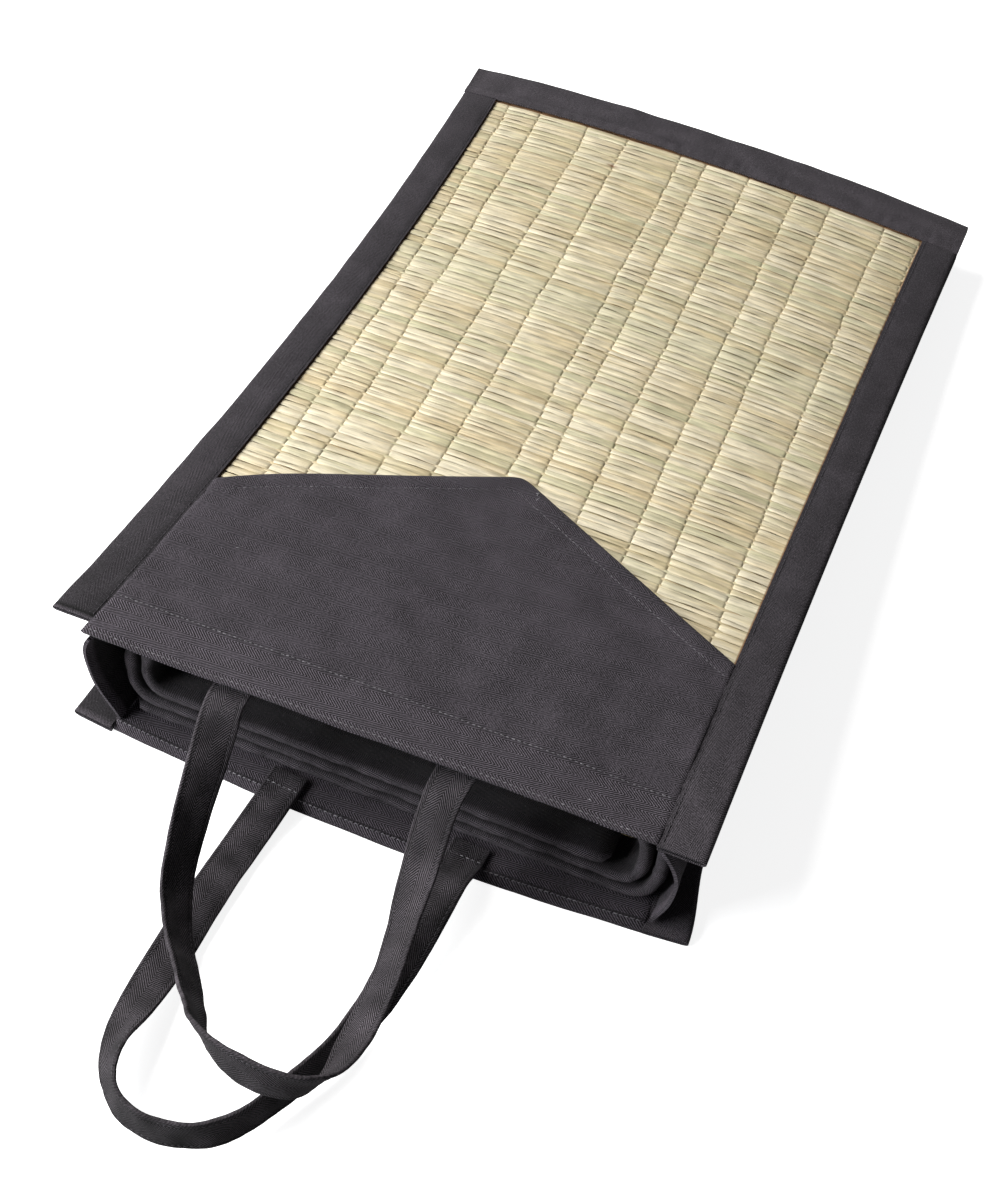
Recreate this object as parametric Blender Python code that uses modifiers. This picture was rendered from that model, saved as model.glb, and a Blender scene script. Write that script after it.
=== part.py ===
"""Grass yoga mat rolled flat inside its own carry bag, lying on a level surface.

The bag is two stiff panels of woven grass with cloth yokes and bound edges,
joined on three sides by a cloth gusset and open at the front.  The mat is
wound in five layers inside it, and two strap handles lie forward of the mouth.
X runs across the bag, -Y is the mouth, +Y the closed back, +Z is up.
"""

import math

import bmesh
import bpy
import numpy as np

# Overall size of a bag panel, edge binding included
BAG_LENGTH = 0.640
BAG_WIDTH = 0.407

# Middle of the mouth edge, seen from the origin under the middle of the box
MOUTH_X = -0.0003
MOUTH_Y = -0.2110

# Height of the top panel's outer corners above the floor
FRONT_LEFT_Z = 0.0923
FRONT_RIGHT_Z = 0.0951
BACK_LEFT_Z = 0.0581
BACK_RIGHT_Z = 0.0357

# Rise of each side edge above a straight line, at half length
LEFT_ARCH = 0.005
RIGHT_ARCH = -0.0038

# Rise of the panel's middle above its side edges: front, half length, back
CROWN = (0.0006, 0.0038, 0.0067)
CROWN_POWER = 2.5

# How far the side edges draw inward and the back edge bulges out
LEFT_BOW = 0.0163
RIGHT_BOW = 0.0026
BACK_BOW = 0.0037

# Bottom panel: flat on the floor, its mouth edge bulging forward, its left
# front corner drawn in and its right flange narrower behind the front corner
BOTTOM_LEFT_INSET = 0.007
BOTTOM_FRONT_BOW = 0.0105
BOTTOM_RIGHT_INSET = 0.0085
BOTTOM_RIGHT_FLARE_Y = 0.060

# Cloth, grass and strap thicknesses
CLOTH = 0.0012
GRASS = 0.0030
GUSSET_CLOTH = 0.0015
STRAP = 0.0026
CLEAR = 0.0005

# Widths of the edge bindings and of the hem turned under at the mouth
SIDE_BINDING = 0.0274
BACK_BINDING = 0.0385
HEM = 0.030
TOP_LEFT_SETBACK = 0.011
BOTTOM_LEFT_SETBACK = -0.002

# Pointed yoke: how far it reaches back at its sides and at its point
YOKE_SIDE = 0.140
YOKE_POINT = 0.2243

# Total depth of a panel with cloth on both faces
PANEL_DEPTH = 2.0 * CLOTH + GRASS + 2.0 * CLEAR

# The mat inside: thickness, cloth cover over its edges, and its reach
MAT = 0.0040
MAT_CLOTH = 0.0010
MAT_EDGE_DEPTH = 0.0084
MAT_STITCHED_DEPTH = 0.0070
MAT_BINDING = 0.027
MAT_BACK_Y = 0.592
MAT_EDGE_INSIDE = 0.0038
MAT_END_SETBACK = 0.008
PUFF_SHARE = 0.6
PINCHED = 0.45
MAT_END_OVERHANG = 0.0045
MAT_FRONT_Y = 0.0098
MAT_FRONT_SLANT = 0.15

# Each layer of the roll in winding order: where its straight run starts and
# ends across the bag, and its height as a share of the room at front and back
LAYER_COLUMNS = ("start_x", "end_x", "front_share", "back_share")
LAYERS = (
    (-0.158, 0.155, 0.052, 0.10),
    (0.155, -0.146, 0.872, 0.90),
    (-0.146, 0.150, 0.168, 0.30),
    (0.150, -0.138, 0.752, 0.70),
    (-0.138, 0.143, 0.292, 0.50),
)
# How far each turn between two layers bulges past the runs it joins
TURN_REACH = (0.0225, 0.018, 0.017, 0.015)
TURN_SQUARENESS = 2.6
SHARE_SETTLES_Y = 0.42

# Gusset: its seam line in from the flange edge, outward bulge and setback
LEFT_GUSSET_SEAM = 0.0300
RIGHT_GUSSET_SEAM = 0.0240
LEFT_GUSSET_BULGE = 0.010
RIGHT_GUSSET_BULGE = 0.011
BACK_GUSSET_BULGE = 0.006
SEAM_INSET = 0.004
SEAM_CLEAR = 0.0008
CORNER_POWER = 6
BULGE_POWER = 1.3
GUSSET_FRONT_TOP = 0.0005
GUSSET_FRONT_BOTTOM = 0.005

# Handle straps: centre line from one sewn end to the other, and the lean of
# the strap's width, 0 flat and 90 with its outer edge up.  SEWN stands for
# the height at which the strap lies against the panel that it is sewn to.
STRAP_WIDTH = 0.024
ROUTE_STEP = 0.004
SEWN = None
# The columns are x, y, z and lean in degrees.
TOP_HANDLE = (
    (-0.079, 0.030, SEWN, 0),
    (-0.0795, 0.020, SEWN, 0),
    (-0.080, 0.010, SEWN, 0),
    (-0.081, 0.002, 0.0848, 0),
    (-0.0815, -0.007, 0.081, 5),
    (-0.0815, -0.018, 0.0705, 20),
    (-0.080, -0.037, 0.0575, 33),
    (-0.078, -0.058, 0.0445, 44),
    (-0.075, -0.0785, 0.0315, 50),
    (-0.068, -0.099, 0.022, 51),
    (-0.0545, -0.1195, 0.0195, 57),
    (-0.0387, -0.138, 0.024, 61),
    (-0.025, -0.1545, 0.033, 65),
    (-0.012, -0.1695, 0.043, 79),
    (0.008, -0.181, 0.052, 96),
    (0.033, -0.1855, 0.0563, 103),
    (0.053, -0.180, 0.0518, 89),
    (0.0628, -0.1645, 0.0438, 56),
    (0.064, -0.1425, 0.0382, 36),
    (0.064, -0.118, 0.036, 36),
    (0.0628, -0.0935, 0.0362, 42),
    (0.059, -0.0705, 0.037, 38),
    (0.056, -0.048, 0.0425, 24),
    (0.0548, -0.025, 0.061, 9),
    (0.0562, -0.010, 0.0795, 3),
    (0.058, 0.001, 0.0848, 0),
    (0.060, 0.010, SEWN, 0),
    (0.0605, 0.020, SEWN, 0),
    (0.061, 0.030, SEWN, 0),
)
BOTTOM_HANDLE = (
    (-0.052, 0.0085, SEWN, 0),
    (-0.053, -0.008, SEWN, 0),
    (-0.055, -0.024, 0.0062, 3),
    (-0.0573, -0.047, 0.0045, 0),
    (-0.0589, -0.070, 0.005, 0),
    (-0.0597, -0.093, 0.0057, 4),
    (-0.0597, -0.116, 0.0065, 9),
    (-0.0596, -0.139, 0.0088, 3),
    (-0.0593, -0.1615, 0.0125, -17),
    (-0.0578, -0.183, 0.0165, -43),
    (-0.0503, -0.2025, 0.0183, -66),
    (-0.0344, -0.216, 0.0184, -77),
    (-0.010, -0.2184, 0.0183, -80),
    (0.0125, -0.210, 0.0178, -82),
    (0.0268, -0.1945, 0.0168, -82),
    (0.037, -0.175, 0.0158, -81),
    (0.0467, -0.154, 0.0152, -77),
    (0.0542, -0.132, 0.0145, -69),
    (0.0587, -0.110, 0.0132, -56),
    (0.0607, -0.0875, 0.0118, -38),
    (0.0618, -0.0645, 0.0112, -19),
    (0.063, -0.042, 0.0115, -2),
    (0.0648, -0.0225, 0.012, 10),
    (0.0659, -0.014, 0.0113, 9),
    (0.0664, -0.008, 0.0096, 4),
    (0.0666, -0.002, 0.0083, 1),
    (0.067, 0.0075, SEWN, 0),
)

# Grid steps
LENGTH_STEPS = 12
WIDTH_STEPS = 10
FOLD_STEPS = 6
FLAT_STEPS = 2
YOKE_STEPS = 6
GUSSET_SIDE_STEPS = 8
GUSSET_BACK_STEPS = 6
TURN_STEPS = 8
RUN_STEPS = 5
MAT_TAPE_STEPS = 10
NORMAL_STEP = 0.25
STRAP_STEPS = 72
STRAP_WIDTH_STEPS = 3

MATERIALS = {
    "grass": ((0.61, 0.54, 0.35, 1.0), 0.55),
    "twill": ((0.066, 0.058, 0.067, 1.0), 0.85),
    "tape": ((0.060, 0.053, 0.060, 1.0), 0.85),
}

COLLECTION = "grass_yoga_mat"


def clear_scene():
    """Remove every object that the scene holds."""
    for obj in list(bpy.data.objects):
        bpy.data.objects.remove(obj, do_unlink=True)


def make_material(name):
    """Return the Principled material of that name, made from its row in the table."""
    color, roughness = MATERIALS[name]
    material = bpy.data.materials.new(name)
    material.use_nodes = True
    shader = material.node_tree.nodes["Principled BSDF"]
    shader.inputs["Base Color"].default_value = color
    shader.inputs["Roughness"].default_value = roughness
    shader.inputs["Metallic"].default_value = 0.0
    return material


def sheet(name, shape, columns, rows, thickness, material, parent):
    """Make a cloth sheet: a grid laid on a mid surface, then given its thickness.

    shape takes two numbers from 0 to 1, along the columns and the rows, and
    gives the point of the mid surface in metres from the mouth's centre.
    """
    bm = bmesh.new()
    bmesh.ops.create_grid(bm, x_segments=columns, y_segments=rows, size=1.0)
    for vert in bm.verts:
        vert.co = shape((vert.co.x + 1.0) / 2.0, (vert.co.y + 1.0) / 2.0)
    mesh = bpy.data.meshes.new(name)
    bm.to_mesh(mesh)
    bm.free()
    mesh.materials.append(material)
    mesh.shade_smooth()
    obj = bpy.data.objects.new(name, mesh)
    bpy.data.collections[COLLECTION].objects.link(obj)
    obj.parent = parent
    solidify = obj.modifiers.new("Thickness", "SOLIDIFY")
    solidify.thickness = thickness
    solidify.offset = 0.0
    solidify.use_even_offset = True
    return obj


def mid_hump(share):
    """Return 0 at both ends and 1 at the middle, along a parabola."""
    return 4.0 * share * (1.0 - share)


def smooth_share(share):
    """Return the share held between 0 and 1 and eased at both ends."""
    held = min(max(share, 0.0), 1.0)
    return held * held * (3.0 - 2.0 * held)


def top_height(u, y):
    """Height of the top panel's outer face; u is -1 at the left edge, 1 at the right."""
    v = y / BAG_LENGTH
    left = FRONT_LEFT_Z * (1 - v) + BACK_LEFT_Z * v + LEFT_ARCH * mid_hump(v)
    right = FRONT_RIGHT_Z * (1 - v) + BACK_RIGHT_Z * v + RIGHT_ARCH * mid_hump(v)
    front, middle, back = CROWN
    straight = front * (1 - v) + back * v
    crown = straight + (middle - (front + back) / 2) * mid_hump(v)
    side = left * (1 - u) / 2 + right * (1 + u) / 2
    return side + crown * (1 - abs(u) ** CROWN_POWER)


def drawn_in(u, y):
    """Place across the bag of a line that starts at share u, its sides drawn inward."""
    inward = LEFT_BOW * (1 - u) / 2 - RIGHT_BOW * (1 + u) / 2
    return u * BAG_WIDTH / 2 + inward * mid_hump(y / BAG_LENGTH)


def top_point(u, y, depth):
    """Point of the top panel, at a depth below its outer face."""
    back = BACK_BOW * (1 - u * u) * y / BAG_LENGTH
    return (drawn_in(u, y), y + back, top_height(u, y) - depth)


def bottom_point(u, y, depth):
    """Point of the bottom panel, at a depth above its outer face on the floor."""
    v = y / BAG_LENGTH
    left = BOTTOM_LEFT_INSET * (1 - v) * (1 - u) / 2
    seam_u = share_from_edge(RIGHT_GUSSET_SEAM)
    flange_share = max((u - seam_u) / (1 - seam_u), 0.0)
    right = BOTTOM_RIGHT_INSET * flange_share * smooth_share(y / BOTTOM_RIGHT_FLARE_Y)
    x = drawn_in(u, y) + left - right
    forward = BOTTOM_FRONT_BOW * (1 - u * u) * (1 - v)
    return (x, y - forward + BACK_BOW * (1 - u * u) * v, depth)


def share_from_edge(distance):
    """Return the |u| of a line that far in from a side edge."""
    return 1.0 - distance / (BAG_WIDTH / 2)


def tape_profile(share, reach):
    """Distance in from the edge and depth of a tape folded round a panel's edge.

    share 0 is the stitched edge on the outer face, 1 the one on the inner face.
    """
    fold_radius = (PANEL_DEPTH - CLOTH) / 2
    flat = reach - fold_radius
    arc = math.pi * fold_radius
    travel = share * (2 * flat + arc)
    if travel < flat:
        return reach - travel, CLOTH / 2
    if travel > flat + arc:
        return fold_radius + travel - flat - arc, PANEL_DEPTH - CLOTH / 2
    angle = (travel - flat) / fold_radius
    distance = fold_radius * (1 - math.sin(angle))
    return distance, PANEL_DEPTH / 2 - fold_radius * math.cos(angle)


def even_steps(share, reach):
    """Turn an even count of steps into a share that puts most of them in the fold."""
    fold_radius = (PANEL_DEPTH - CLOTH) / 2
    flat = reach - fold_radius
    arc = math.pi * fold_radius
    total = 2 * flat + arc
    step = share * (2 * FLAT_STEPS + FOLD_STEPS)
    if step <= FLAT_STEPS:
        return step / FLAT_STEPS * flat / total
    if step >= FLAT_STEPS + FOLD_STEPS:
        return (flat + arc + (step - FLAT_STEPS - FOLD_STEPS) / FLAT_STEPS * flat) / total
    return (flat + (step - FLAT_STEPS) / FOLD_STEPS * arc) / total


def build_panel(prefix, point, left_setback, materials, parent):
    """Build one face of the bag: its grass, its yoke and its three bindings."""
    inner_u = share_from_edge(SIDE_BINDING + CLEAR)
    inset = CLOTH + CLEAR
    grass_u = share_from_edge(inset + 2 * CLEAR)
    grass_depth = PANEL_DEPTH / 2
    yoke_rows = YOKE_STEPS + FOLD_STEPS + FLAT_STEPS
    tape_steps = 2 * FLAT_STEPS + FOLD_STEPS

    def grass(s, t):
        y = inset + CLEAR + t * (BAG_LENGTH - 2 * (inset + CLEAR))
        return point((2 * s - 1) * grass_u, y, grass_depth)

    def yoke(s, t):
        u = (2 * s - 1) * inner_u
        reach = YOKE_POINT + (YOKE_SIDE - YOKE_POINT) * abs(2 * s - 1)
        step = t * yoke_rows
        fold_radius = (PANEL_DEPTH - CLOTH) / 2
        if step <= YOKE_STEPS:
            y = reach + (fold_radius - reach) * step / YOKE_STEPS
            return point(u, y, CLOTH / 2)
        if step < YOKE_STEPS + FOLD_STEPS:
            angle = math.pi * (step - YOKE_STEPS) / FOLD_STEPS
            y = fold_radius * (1 - math.sin(angle))
            return point(u, y, PANEL_DEPTH / 2 - fold_radius * math.cos(angle))
        under = (step - YOKE_STEPS - FOLD_STEPS) / FLAT_STEPS
        y = fold_radius + (HEM - fold_radius) * under
        return point(u, y, PANEL_DEPTH - CLOTH / 2)

    def side_binding(side, setback):
        first_y = setback
        last_y = BAG_LENGTH - BACK_BINDING - CLEAR

        def shape(s, t):
            distance, depth = tape_profile(even_steps(s, SIDE_BINDING), SIDE_BINDING)
            y = first_y + t * (last_y - first_y)
            return point(side * share_from_edge(distance), y, depth)

        return shape

    def back_binding(s, t):
        distance, depth = tape_profile(even_steps(t, BACK_BINDING), BACK_BINDING)
        return point(2 * s - 1, BAG_LENGTH - distance, depth)

    sheet(prefix + "_grass", grass, WIDTH_STEPS, LENGTH_STEPS, GRASS, materials["grass"], parent)
    sheet(prefix + "_yoke", yoke, WIDTH_STEPS, yoke_rows, CLOTH, materials["twill"], parent)
    for name, side, setback in (("left", -1, left_setback), ("right", 1, 0.0)):
        shape = side_binding(side, setback)
        node = prefix + "_binding_" + name
        sheet(node, shape, tape_steps, LENGTH_STEPS, CLOTH, materials["tape"], parent)
    node = prefix + "_binding_back"
    sheet(node, back_binding, WIDTH_STEPS, tape_steps, CLOTH, materials["tape"], parent)


def gusset_lean(share, bulge):
    """Outward offset of a gusset: 0 at both seams and fullest above half height."""
    return bulge * math.sin(math.pi * share ** BULGE_POWER)


def build_gusset(material, parent):
    """Build the three cloth walls between the two panels."""
    left_u = -share_from_edge(LEFT_GUSSET_SEAM)
    right_u = share_from_edge(RIGHT_GUSSET_SEAM)
    seam_back = BAG_LENGTH - BACK_BINDING + SEAM_INSET
    corner_gap = GUSSET_CLOTH / 2 + CLEAR
    margin = PANEL_DEPTH + SEAM_CLEAR

    def wall(u, y, share):
        x_top, y_top, z_top = top_point(u, y, margin)
        x_low, y_low, z_low = bottom_point(u, y, margin)
        return np.array((x_low + (x_top - x_low) * share,
                         y_low + (y_top - y_low) * share,
                         z_low + (z_top - z_low) * share))

    def side_wall(u, bulge):
        def shape(s, t):
            front = GUSSET_FRONT_BOTTOM + (GUSSET_FRONT_TOP - GUSSET_FRONT_BOTTOM) * s
            y = front + t * (seam_back - corner_gap - front)
            spot = wall(u, y, s)
            spot[0] += gusset_lean(s, bulge) * (1 - t ** CORNER_POWER)
            return spot
        return shape

    def back_wall(s, t):
        side_gap = 2 * corner_gap / (BAG_WIDTH / 2)
        u = left_u + side_gap + s * (right_u - left_u - 2 * side_gap)
        spot = wall(u, seam_back, t)
        spot[1] += gusset_lean(t, BACK_GUSSET_BULGE) * (1 - (2 * s - 1) ** CORNER_POWER)
        return spot

    for name, u, bulge in (("left", left_u, -LEFT_GUSSET_BULGE),
                           ("right", right_u, RIGHT_GUSSET_BULGE)):
        sheet("gusset_" + name, side_wall(u, bulge), GUSSET_SIDE_STEPS, LENGTH_STEPS,
              GUSSET_CLOTH, material, parent)
    sheet("gusset_back", back_wall, WIDTH_STEPS, GUSSET_BACK_STEPS, GUSSET_CLOTH,
          material, parent)


def layer_height(layer, x, y):
    """Height of one wound layer's middle at a place in the bag."""
    blend = smooth_share(y / SHARE_SETTLES_Y)
    row = dict(zip(LAYER_COLUMNS, layer))
    share = row["front_share"] * (1 - blend) + row["back_share"] * blend
    floor = PANEL_DEPTH + CLEAR
    ceiling = top_height(x / (BAG_WIDTH / 2), y) - PANEL_DEPTH - CLEAR
    return floor + share * (ceiling - floor)


def wound_point(step, y):
    """Point across the bag on the wound mat's middle line, at a whole or part step.

    Each layer is a run of RUN_STEPS steps, and each turn between two layers is
    half of a squared ellipse of TURN_STEPS steps.
    """
    pair = RUN_STEPS + TURN_STEPS
    last = len(LAYERS) - 1
    index = min(max(int(step // pair), 0), last)
    along = step - index * pair
    row = dict(zip(LAYER_COLUMNS, LAYERS[index]))
    if along <= RUN_STEPS or index == last:
        x = row["start_x"] + (row["end_x"] - row["start_x"]) * along / RUN_STEPS
        return np.array((x, layer_height(LAYERS[index], x, y)))
    angle = math.pi * ((along - RUN_STEPS) / TURN_STEPS - 0.5)
    x = row["end_x"]
    here = layer_height(LAYERS[index], x, y)
    there = layer_height(LAYERS[index + 1], x, y)
    power = 2.0 / TURN_SQUARENESS
    side = 1.0 if x > 0 else -1.0
    out = TURN_REACH[index] * max(math.cos(angle), 0.0) ** power
    lift = math.copysign(abs(math.sin(angle)) ** power, angle)
    return np.array((x + side * out, (here + there) / 2 + (there - here) / 2 * lift))


def wound_steps():
    """Number of steps along the whole wound mat."""
    return len(LAYERS) * RUN_STEPS + (len(LAYERS) - 1) * TURN_STEPS


def wound_front(z):
    """How far back from the mouth the mat's bound edge lies at a height."""
    return MAT_FRONT_Y + MAT_FRONT_SLANT * z


def wound_normal(step, y):
    """Unit vector across the bag, square to the wound mat's middle line."""
    along = wound_point(step + NORMAL_STEP, y) - wound_point(step - NORMAL_STEP, y)
    return np.array((-along[1], along[0])) / np.linalg.norm(along)


def wound_place(step, y, offset):
    """Point in the bag off the wound mat's middle line by an offset."""
    x, z = wound_point(step, y) + wound_normal(step, y) * offset
    return (drawn_in(x / (BAG_WIDTH / 2), y), y, z)


def puffed_tape(place):
    """Reach from the bound edge and offset of the mat's tape, at -1 to 1 across it.

    The tape is round and full at the edge and thinner along its stitches.
    """
    fold = (MAT_EDGE_DEPTH - MAT_CLOTH) / 2
    stitched = (MAT_STITCHED_DEPTH - MAT_CLOTH) / 2
    if abs(place) <= PUFF_SHARE:
        angle = place / PUFF_SHARE * math.pi / 2
        return MAT_CLOTH / 2 + fold * (1 - math.cos(angle)), fold * math.sin(angle)
    along = (abs(place) - PUFF_SHARE) / (1 - PUFF_SHARE)
    reach = fold + MAT_CLOTH / 2 + along * (MAT_BINDING - fold)
    return reach, math.copysign(fold + (stitched - fold) * along, place)


def build_mat(materials, parent):
    """Build the wound mat, the binding of its front edge and of its two ends."""
    steps = wound_steps()
    run = dict(zip(LAYER_COLUMNS, LAYERS[0]))
    step_length = (run["end_x"] - run["start_x"]) / RUN_STEPS
    overhang = MAT_END_OVERHANG / step_length
    first_end = -overhang
    last_end = steps + overhang

    def roll(s, t):
        step = s * steps
        front = wound_front(wound_point(step, MAT_FRONT_Y)[1]) + MAT_EDGE_INSIDE
        return wound_place(step, front + t * (MAT_BACK_Y - front), 0.0)

    def front_binding(s, t):
        step = min(max(s * (steps + 2) - 1, first_end), last_end)
        front = wound_front(wound_point(step, MAT_FRONT_Y)[1])
        reach, offset = puffed_tape(2 * t - 1)
        pinch = PINCHED if step in (first_end, last_end) else 1.0
        return wound_place(step, front + reach, offset * pinch)

    def end_binding(first, inward):
        def shape(s, t):
            reach, offset = puffed_tape(2 * s - 1)
            step = first + inward * (reach / step_length - overhang)
            front = MAT_FRONT_Y + MAT_BINDING + MAT_END_SETBACK
            return wound_place(step, front + t * (MAT_BACK_Y - front), offset)
        return shape

    sheet("mat_roll", roll, steps, LENGTH_STEPS, MAT, materials["grass"], parent)
    sheet("mat_front_binding", front_binding, steps + 2, MAT_TAPE_STEPS, MAT_CLOTH,
          materials["tape"], parent)
    for name, first, inward in (("outer", 0, 1), ("core", steps, -1)):
        sheet("mat_" + name + "_end_binding", end_binding(first, inward), MAT_TAPE_STEPS,
              LENGTH_STEPS, MAT_CLOTH, materials["tape"], parent)


def smooth_route(rows, share):
    """Point and lean on the smooth curve through a route's rows (Catmull-Rom)."""
    spot = share * (len(rows) - 1)
    index = min(int(spot), len(rows) - 2)
    t = spot - index
    table = np.array(rows, dtype=float)
    p1 = table[index]
    p2 = table[index + 1]
    p0 = table[index - 1] if index > 0 else 2 * p1 - p2
    p3 = table[index + 2] if index + 2 < len(rows) else 2 * p2 - p1
    return 0.5 * (2 * p1 + (p2 - p0) * t + (2 * p0 - 5 * p1 + 4 * p2 - p3) * t ** 2
                  + (3 * p1 - p0 - 3 * p2 + p3) * t ** 3)


def under_top(x, y):
    """Height of a strap's middle where it is sewn under the top panel."""
    return top_height(x / (BAG_WIDTH / 2), y) - PANEL_DEPTH - CLEAR - STRAP / 2


def over_bottom(x, y):
    """Height of a strap's middle where it is sewn on the bottom panel."""
    return PANEL_DEPTH + CLEAR + STRAP / 2


def build_strap(name, table, sewn_height, material, parent):
    """Build a handle: a flat strap along its route, leaning as the table says."""
    rows = [(x, y, sewn_height(x, y) if z is SEWN else z, lean) for x, y, z, lean in table]

    def shape(s, t):
        here = smooth_route(rows, t)
        ahead = smooth_route(rows, min(t + ROUTE_STEP, 1.0))
        behind = smooth_route(rows, max(t - ROUTE_STEP, 0.0))
        along = ahead[:3] - behind[:3]
        along /= np.linalg.norm(along)
        side = np.cross(along, (0.0, 0.0, 1.0))
        side /= np.linalg.norm(side)
        rise = np.cross(side, along)
        lean = math.radians(here[3])
        across = side * math.cos(lean) + rise * math.sin(lean)
        return here[:3] + across * STRAP_WIDTH * (s - 0.5)

    sheet(name, shape, STRAP_WIDTH_STEPS, STRAP_STEPS, STRAP, material, parent)


def main():
    """Build the whole object."""
    clear_scene()
    collection = bpy.data.collections.new(COLLECTION)
    bpy.context.scene.collection.children.link(collection)
    mouth = bpy.data.objects.new("mouth_line", None)
    mouth.location = (MOUTH_X, MOUTH_Y, 0.0)
    collection.objects.link(mouth)
    materials = {name: make_material(name) for name in MATERIALS}

    build_panel("top", top_point, TOP_LEFT_SETBACK, materials, mouth)
    build_panel("bottom", bottom_point, BOTTOM_LEFT_SETBACK, materials, mouth)
    build_gusset(materials["twill"], mouth)
    build_mat(materials, mouth)
    build_strap("handle_top", TOP_HANDLE, under_top, materials["tape"], mouth)
    build_strap("handle_bottom", BOTTOM_HANDLE, over_bottom, materials["tape"], mouth)
    bpy.context.view_layer.update()


main()
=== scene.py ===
"""The looks of a woven grass yoga mat rolled flat inside its own carry bag.

Lengths are in metres.  Every surface is a function of two parameters, worked
out as whole numpy arrays.  A point is first placed from the middle of the
bag's mouth edge, with x across the bag, y back from the mouth and z up, and
is moved into the frame when its mesh is made.
"""

import logging
import math
from dataclasses import dataclass
from enum import Enum

import bpy
import numpy as np
from mathutils import Matrix


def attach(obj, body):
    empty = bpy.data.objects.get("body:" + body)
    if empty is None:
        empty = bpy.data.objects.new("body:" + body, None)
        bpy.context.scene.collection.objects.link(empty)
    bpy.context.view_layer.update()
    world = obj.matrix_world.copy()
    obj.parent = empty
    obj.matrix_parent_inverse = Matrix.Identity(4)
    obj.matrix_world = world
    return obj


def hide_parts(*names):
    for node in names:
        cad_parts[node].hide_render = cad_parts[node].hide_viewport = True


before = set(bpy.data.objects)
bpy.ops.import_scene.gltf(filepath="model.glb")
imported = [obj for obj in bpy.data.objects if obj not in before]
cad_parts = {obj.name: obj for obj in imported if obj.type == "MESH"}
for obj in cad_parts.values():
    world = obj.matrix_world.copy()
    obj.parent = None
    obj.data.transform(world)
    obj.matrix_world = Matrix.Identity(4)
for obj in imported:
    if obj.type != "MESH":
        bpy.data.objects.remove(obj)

LOG = logging.getLogger("grass_yoga_mat")
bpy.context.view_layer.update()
MOUTH = np.array((-0.0003, -0.2110, 0.0))
TAU = 2.0 * math.pi
GRASS_EDGE = 0.1761  # half of the width of the grass that shows between the side tapes
GRASS_BACK = 0.6015  # where the grass goes under the back tape

Array = np.ndarray
Pair = tuple[float, float]
Triple = tuple[float, float, float]
Quad = tuple[float, float, float, float]


class Face(Enum):
    """Which face of the bag a piece belongs to."""

    TOP = "top"
    BOTTOM = "bottom"


class Side(Enum):
    """Which side of the bag a piece lies on, as seen from the mouth."""

    LEFT = -1
    RIGHT = 1


# ---------------------------------------------------------------- shape tools


def hump(share: Array) -> Array:
    """Return 0 at both ends and 1 at the middle, along a parabola."""
    return 4.0 * share * (1.0 - share)


def eased(share: Array) -> Array:
    """Return the share held between 0 and 1 and eased at both ends."""
    held = np.clip(share, 0.0, 1.0)
    return held * held * (3.0 - 2.0 * held)


def bell(distance: Array, width: float) -> Array:
    """Return a bell curve: 1 at distance 0, falling off over the width."""
    return np.exp(-((distance / width) ** 2))


def ripple(a: Array, b: Array, wavelength: float, seed: int,
           waves: int = 14, spread: float = math.pi) -> Array:
    """Return smooth seeded noise with a root mean square of about 1.

    The sum of plane waves of random direction and phase, whose lengths lie
    within half of the wavelength either way.

    Args:
        a: First coordinate of each point, in metres.
        b: Second coordinate, in metres.
        wavelength: Middle length of the waves.
        seed: Seed of the random draws.
        waves: Number of waves.
        spread: How far the directions turn away from the first coordinate.

    Returns:
        The noise at each point.
    """
    rng = np.random.default_rng(seed)
    turn = rng.uniform(-spread, spread, waves)
    length = wavelength * rng.uniform(0.6, 1.6, waves)
    phase = rng.uniform(0.0, TAU, waves)
    total = np.zeros(np.broadcast(a, b).shape)
    for angle, size, start in zip(turn, length, phase):
        total += np.sin(TAU * (a * math.cos(angle) + b * math.sin(angle)) / size + start)
    return total / math.sqrt(waves / 2.0)


@dataclass(frozen=True)
class Crease:
    """A soft trough or ridge pressed into cloth along a straight line."""

    start: Pair
    end: Pair
    width: float
    height: float

    def relief(self, a: Array, b: Array) -> Array:
        """Return the crease's height at each point.

        A bell curve of the distance from the line, eased to nothing at both
        of the line's ends.

        Args:
            a: First cloth coordinate of each point.
            b: Second cloth coordinate.

        Returns:
            Height above the plain cloth, negative in a trough.
        """
        along = np.array(self.end) - np.array(self.start)
        length = float(np.hypot(*along))
        da, db = a - self.start[0], b - self.start[1]
        share = (da * along[0] + db * along[1]) / length ** 2
        off = (da * along[1] - db * along[0]) / length
        fade = eased((share + 0.15) / 0.3) * eased((1.15 - share) / 0.3)
        return self.height * bell(off, self.width) * fade


def creased(a: Array, b: Array, creases: tuple[Crease, ...]) -> Array:
    """Return the summed relief of all creases at each point."""
    return sum((crease.relief(a, b) for crease in creases), np.zeros(np.broadcast(a, b).shape))


def stacked(*parts: Array) -> Array:
    """Return the parts spread to one shape and stacked along a new last axis."""
    return np.stack(np.broadcast_arrays(*parts), -1)


def unit(vectors: Array) -> Array:
    """Return the vectors scaled to length 1."""
    return vectors / np.maximum(np.linalg.norm(vectors, axis=-1, keepdims=True), 1e-12)


def normals_of(points: Array) -> Array:
    """Return the unit normals of a grid: the cross product of its two tangents."""
    return unit(np.cross(np.gradient(points, axis=1), np.gradient(points, axis=0)))


def arc_lengths(path: Array) -> Array:
    """Return the length travelled along a path of points at each point."""
    steps = np.linalg.norm(np.diff(path, axis=0), axis=-1)
    return np.concatenate(([0.0], np.cumsum(steps)))


def read_at(at: Array, travel: Array, values: Array) -> Array:
    """Return the rows of values, one for each point of a path, read at some lengths."""
    return np.stack([np.interp(at, travel, column) for column in values.T], -1)


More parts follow.
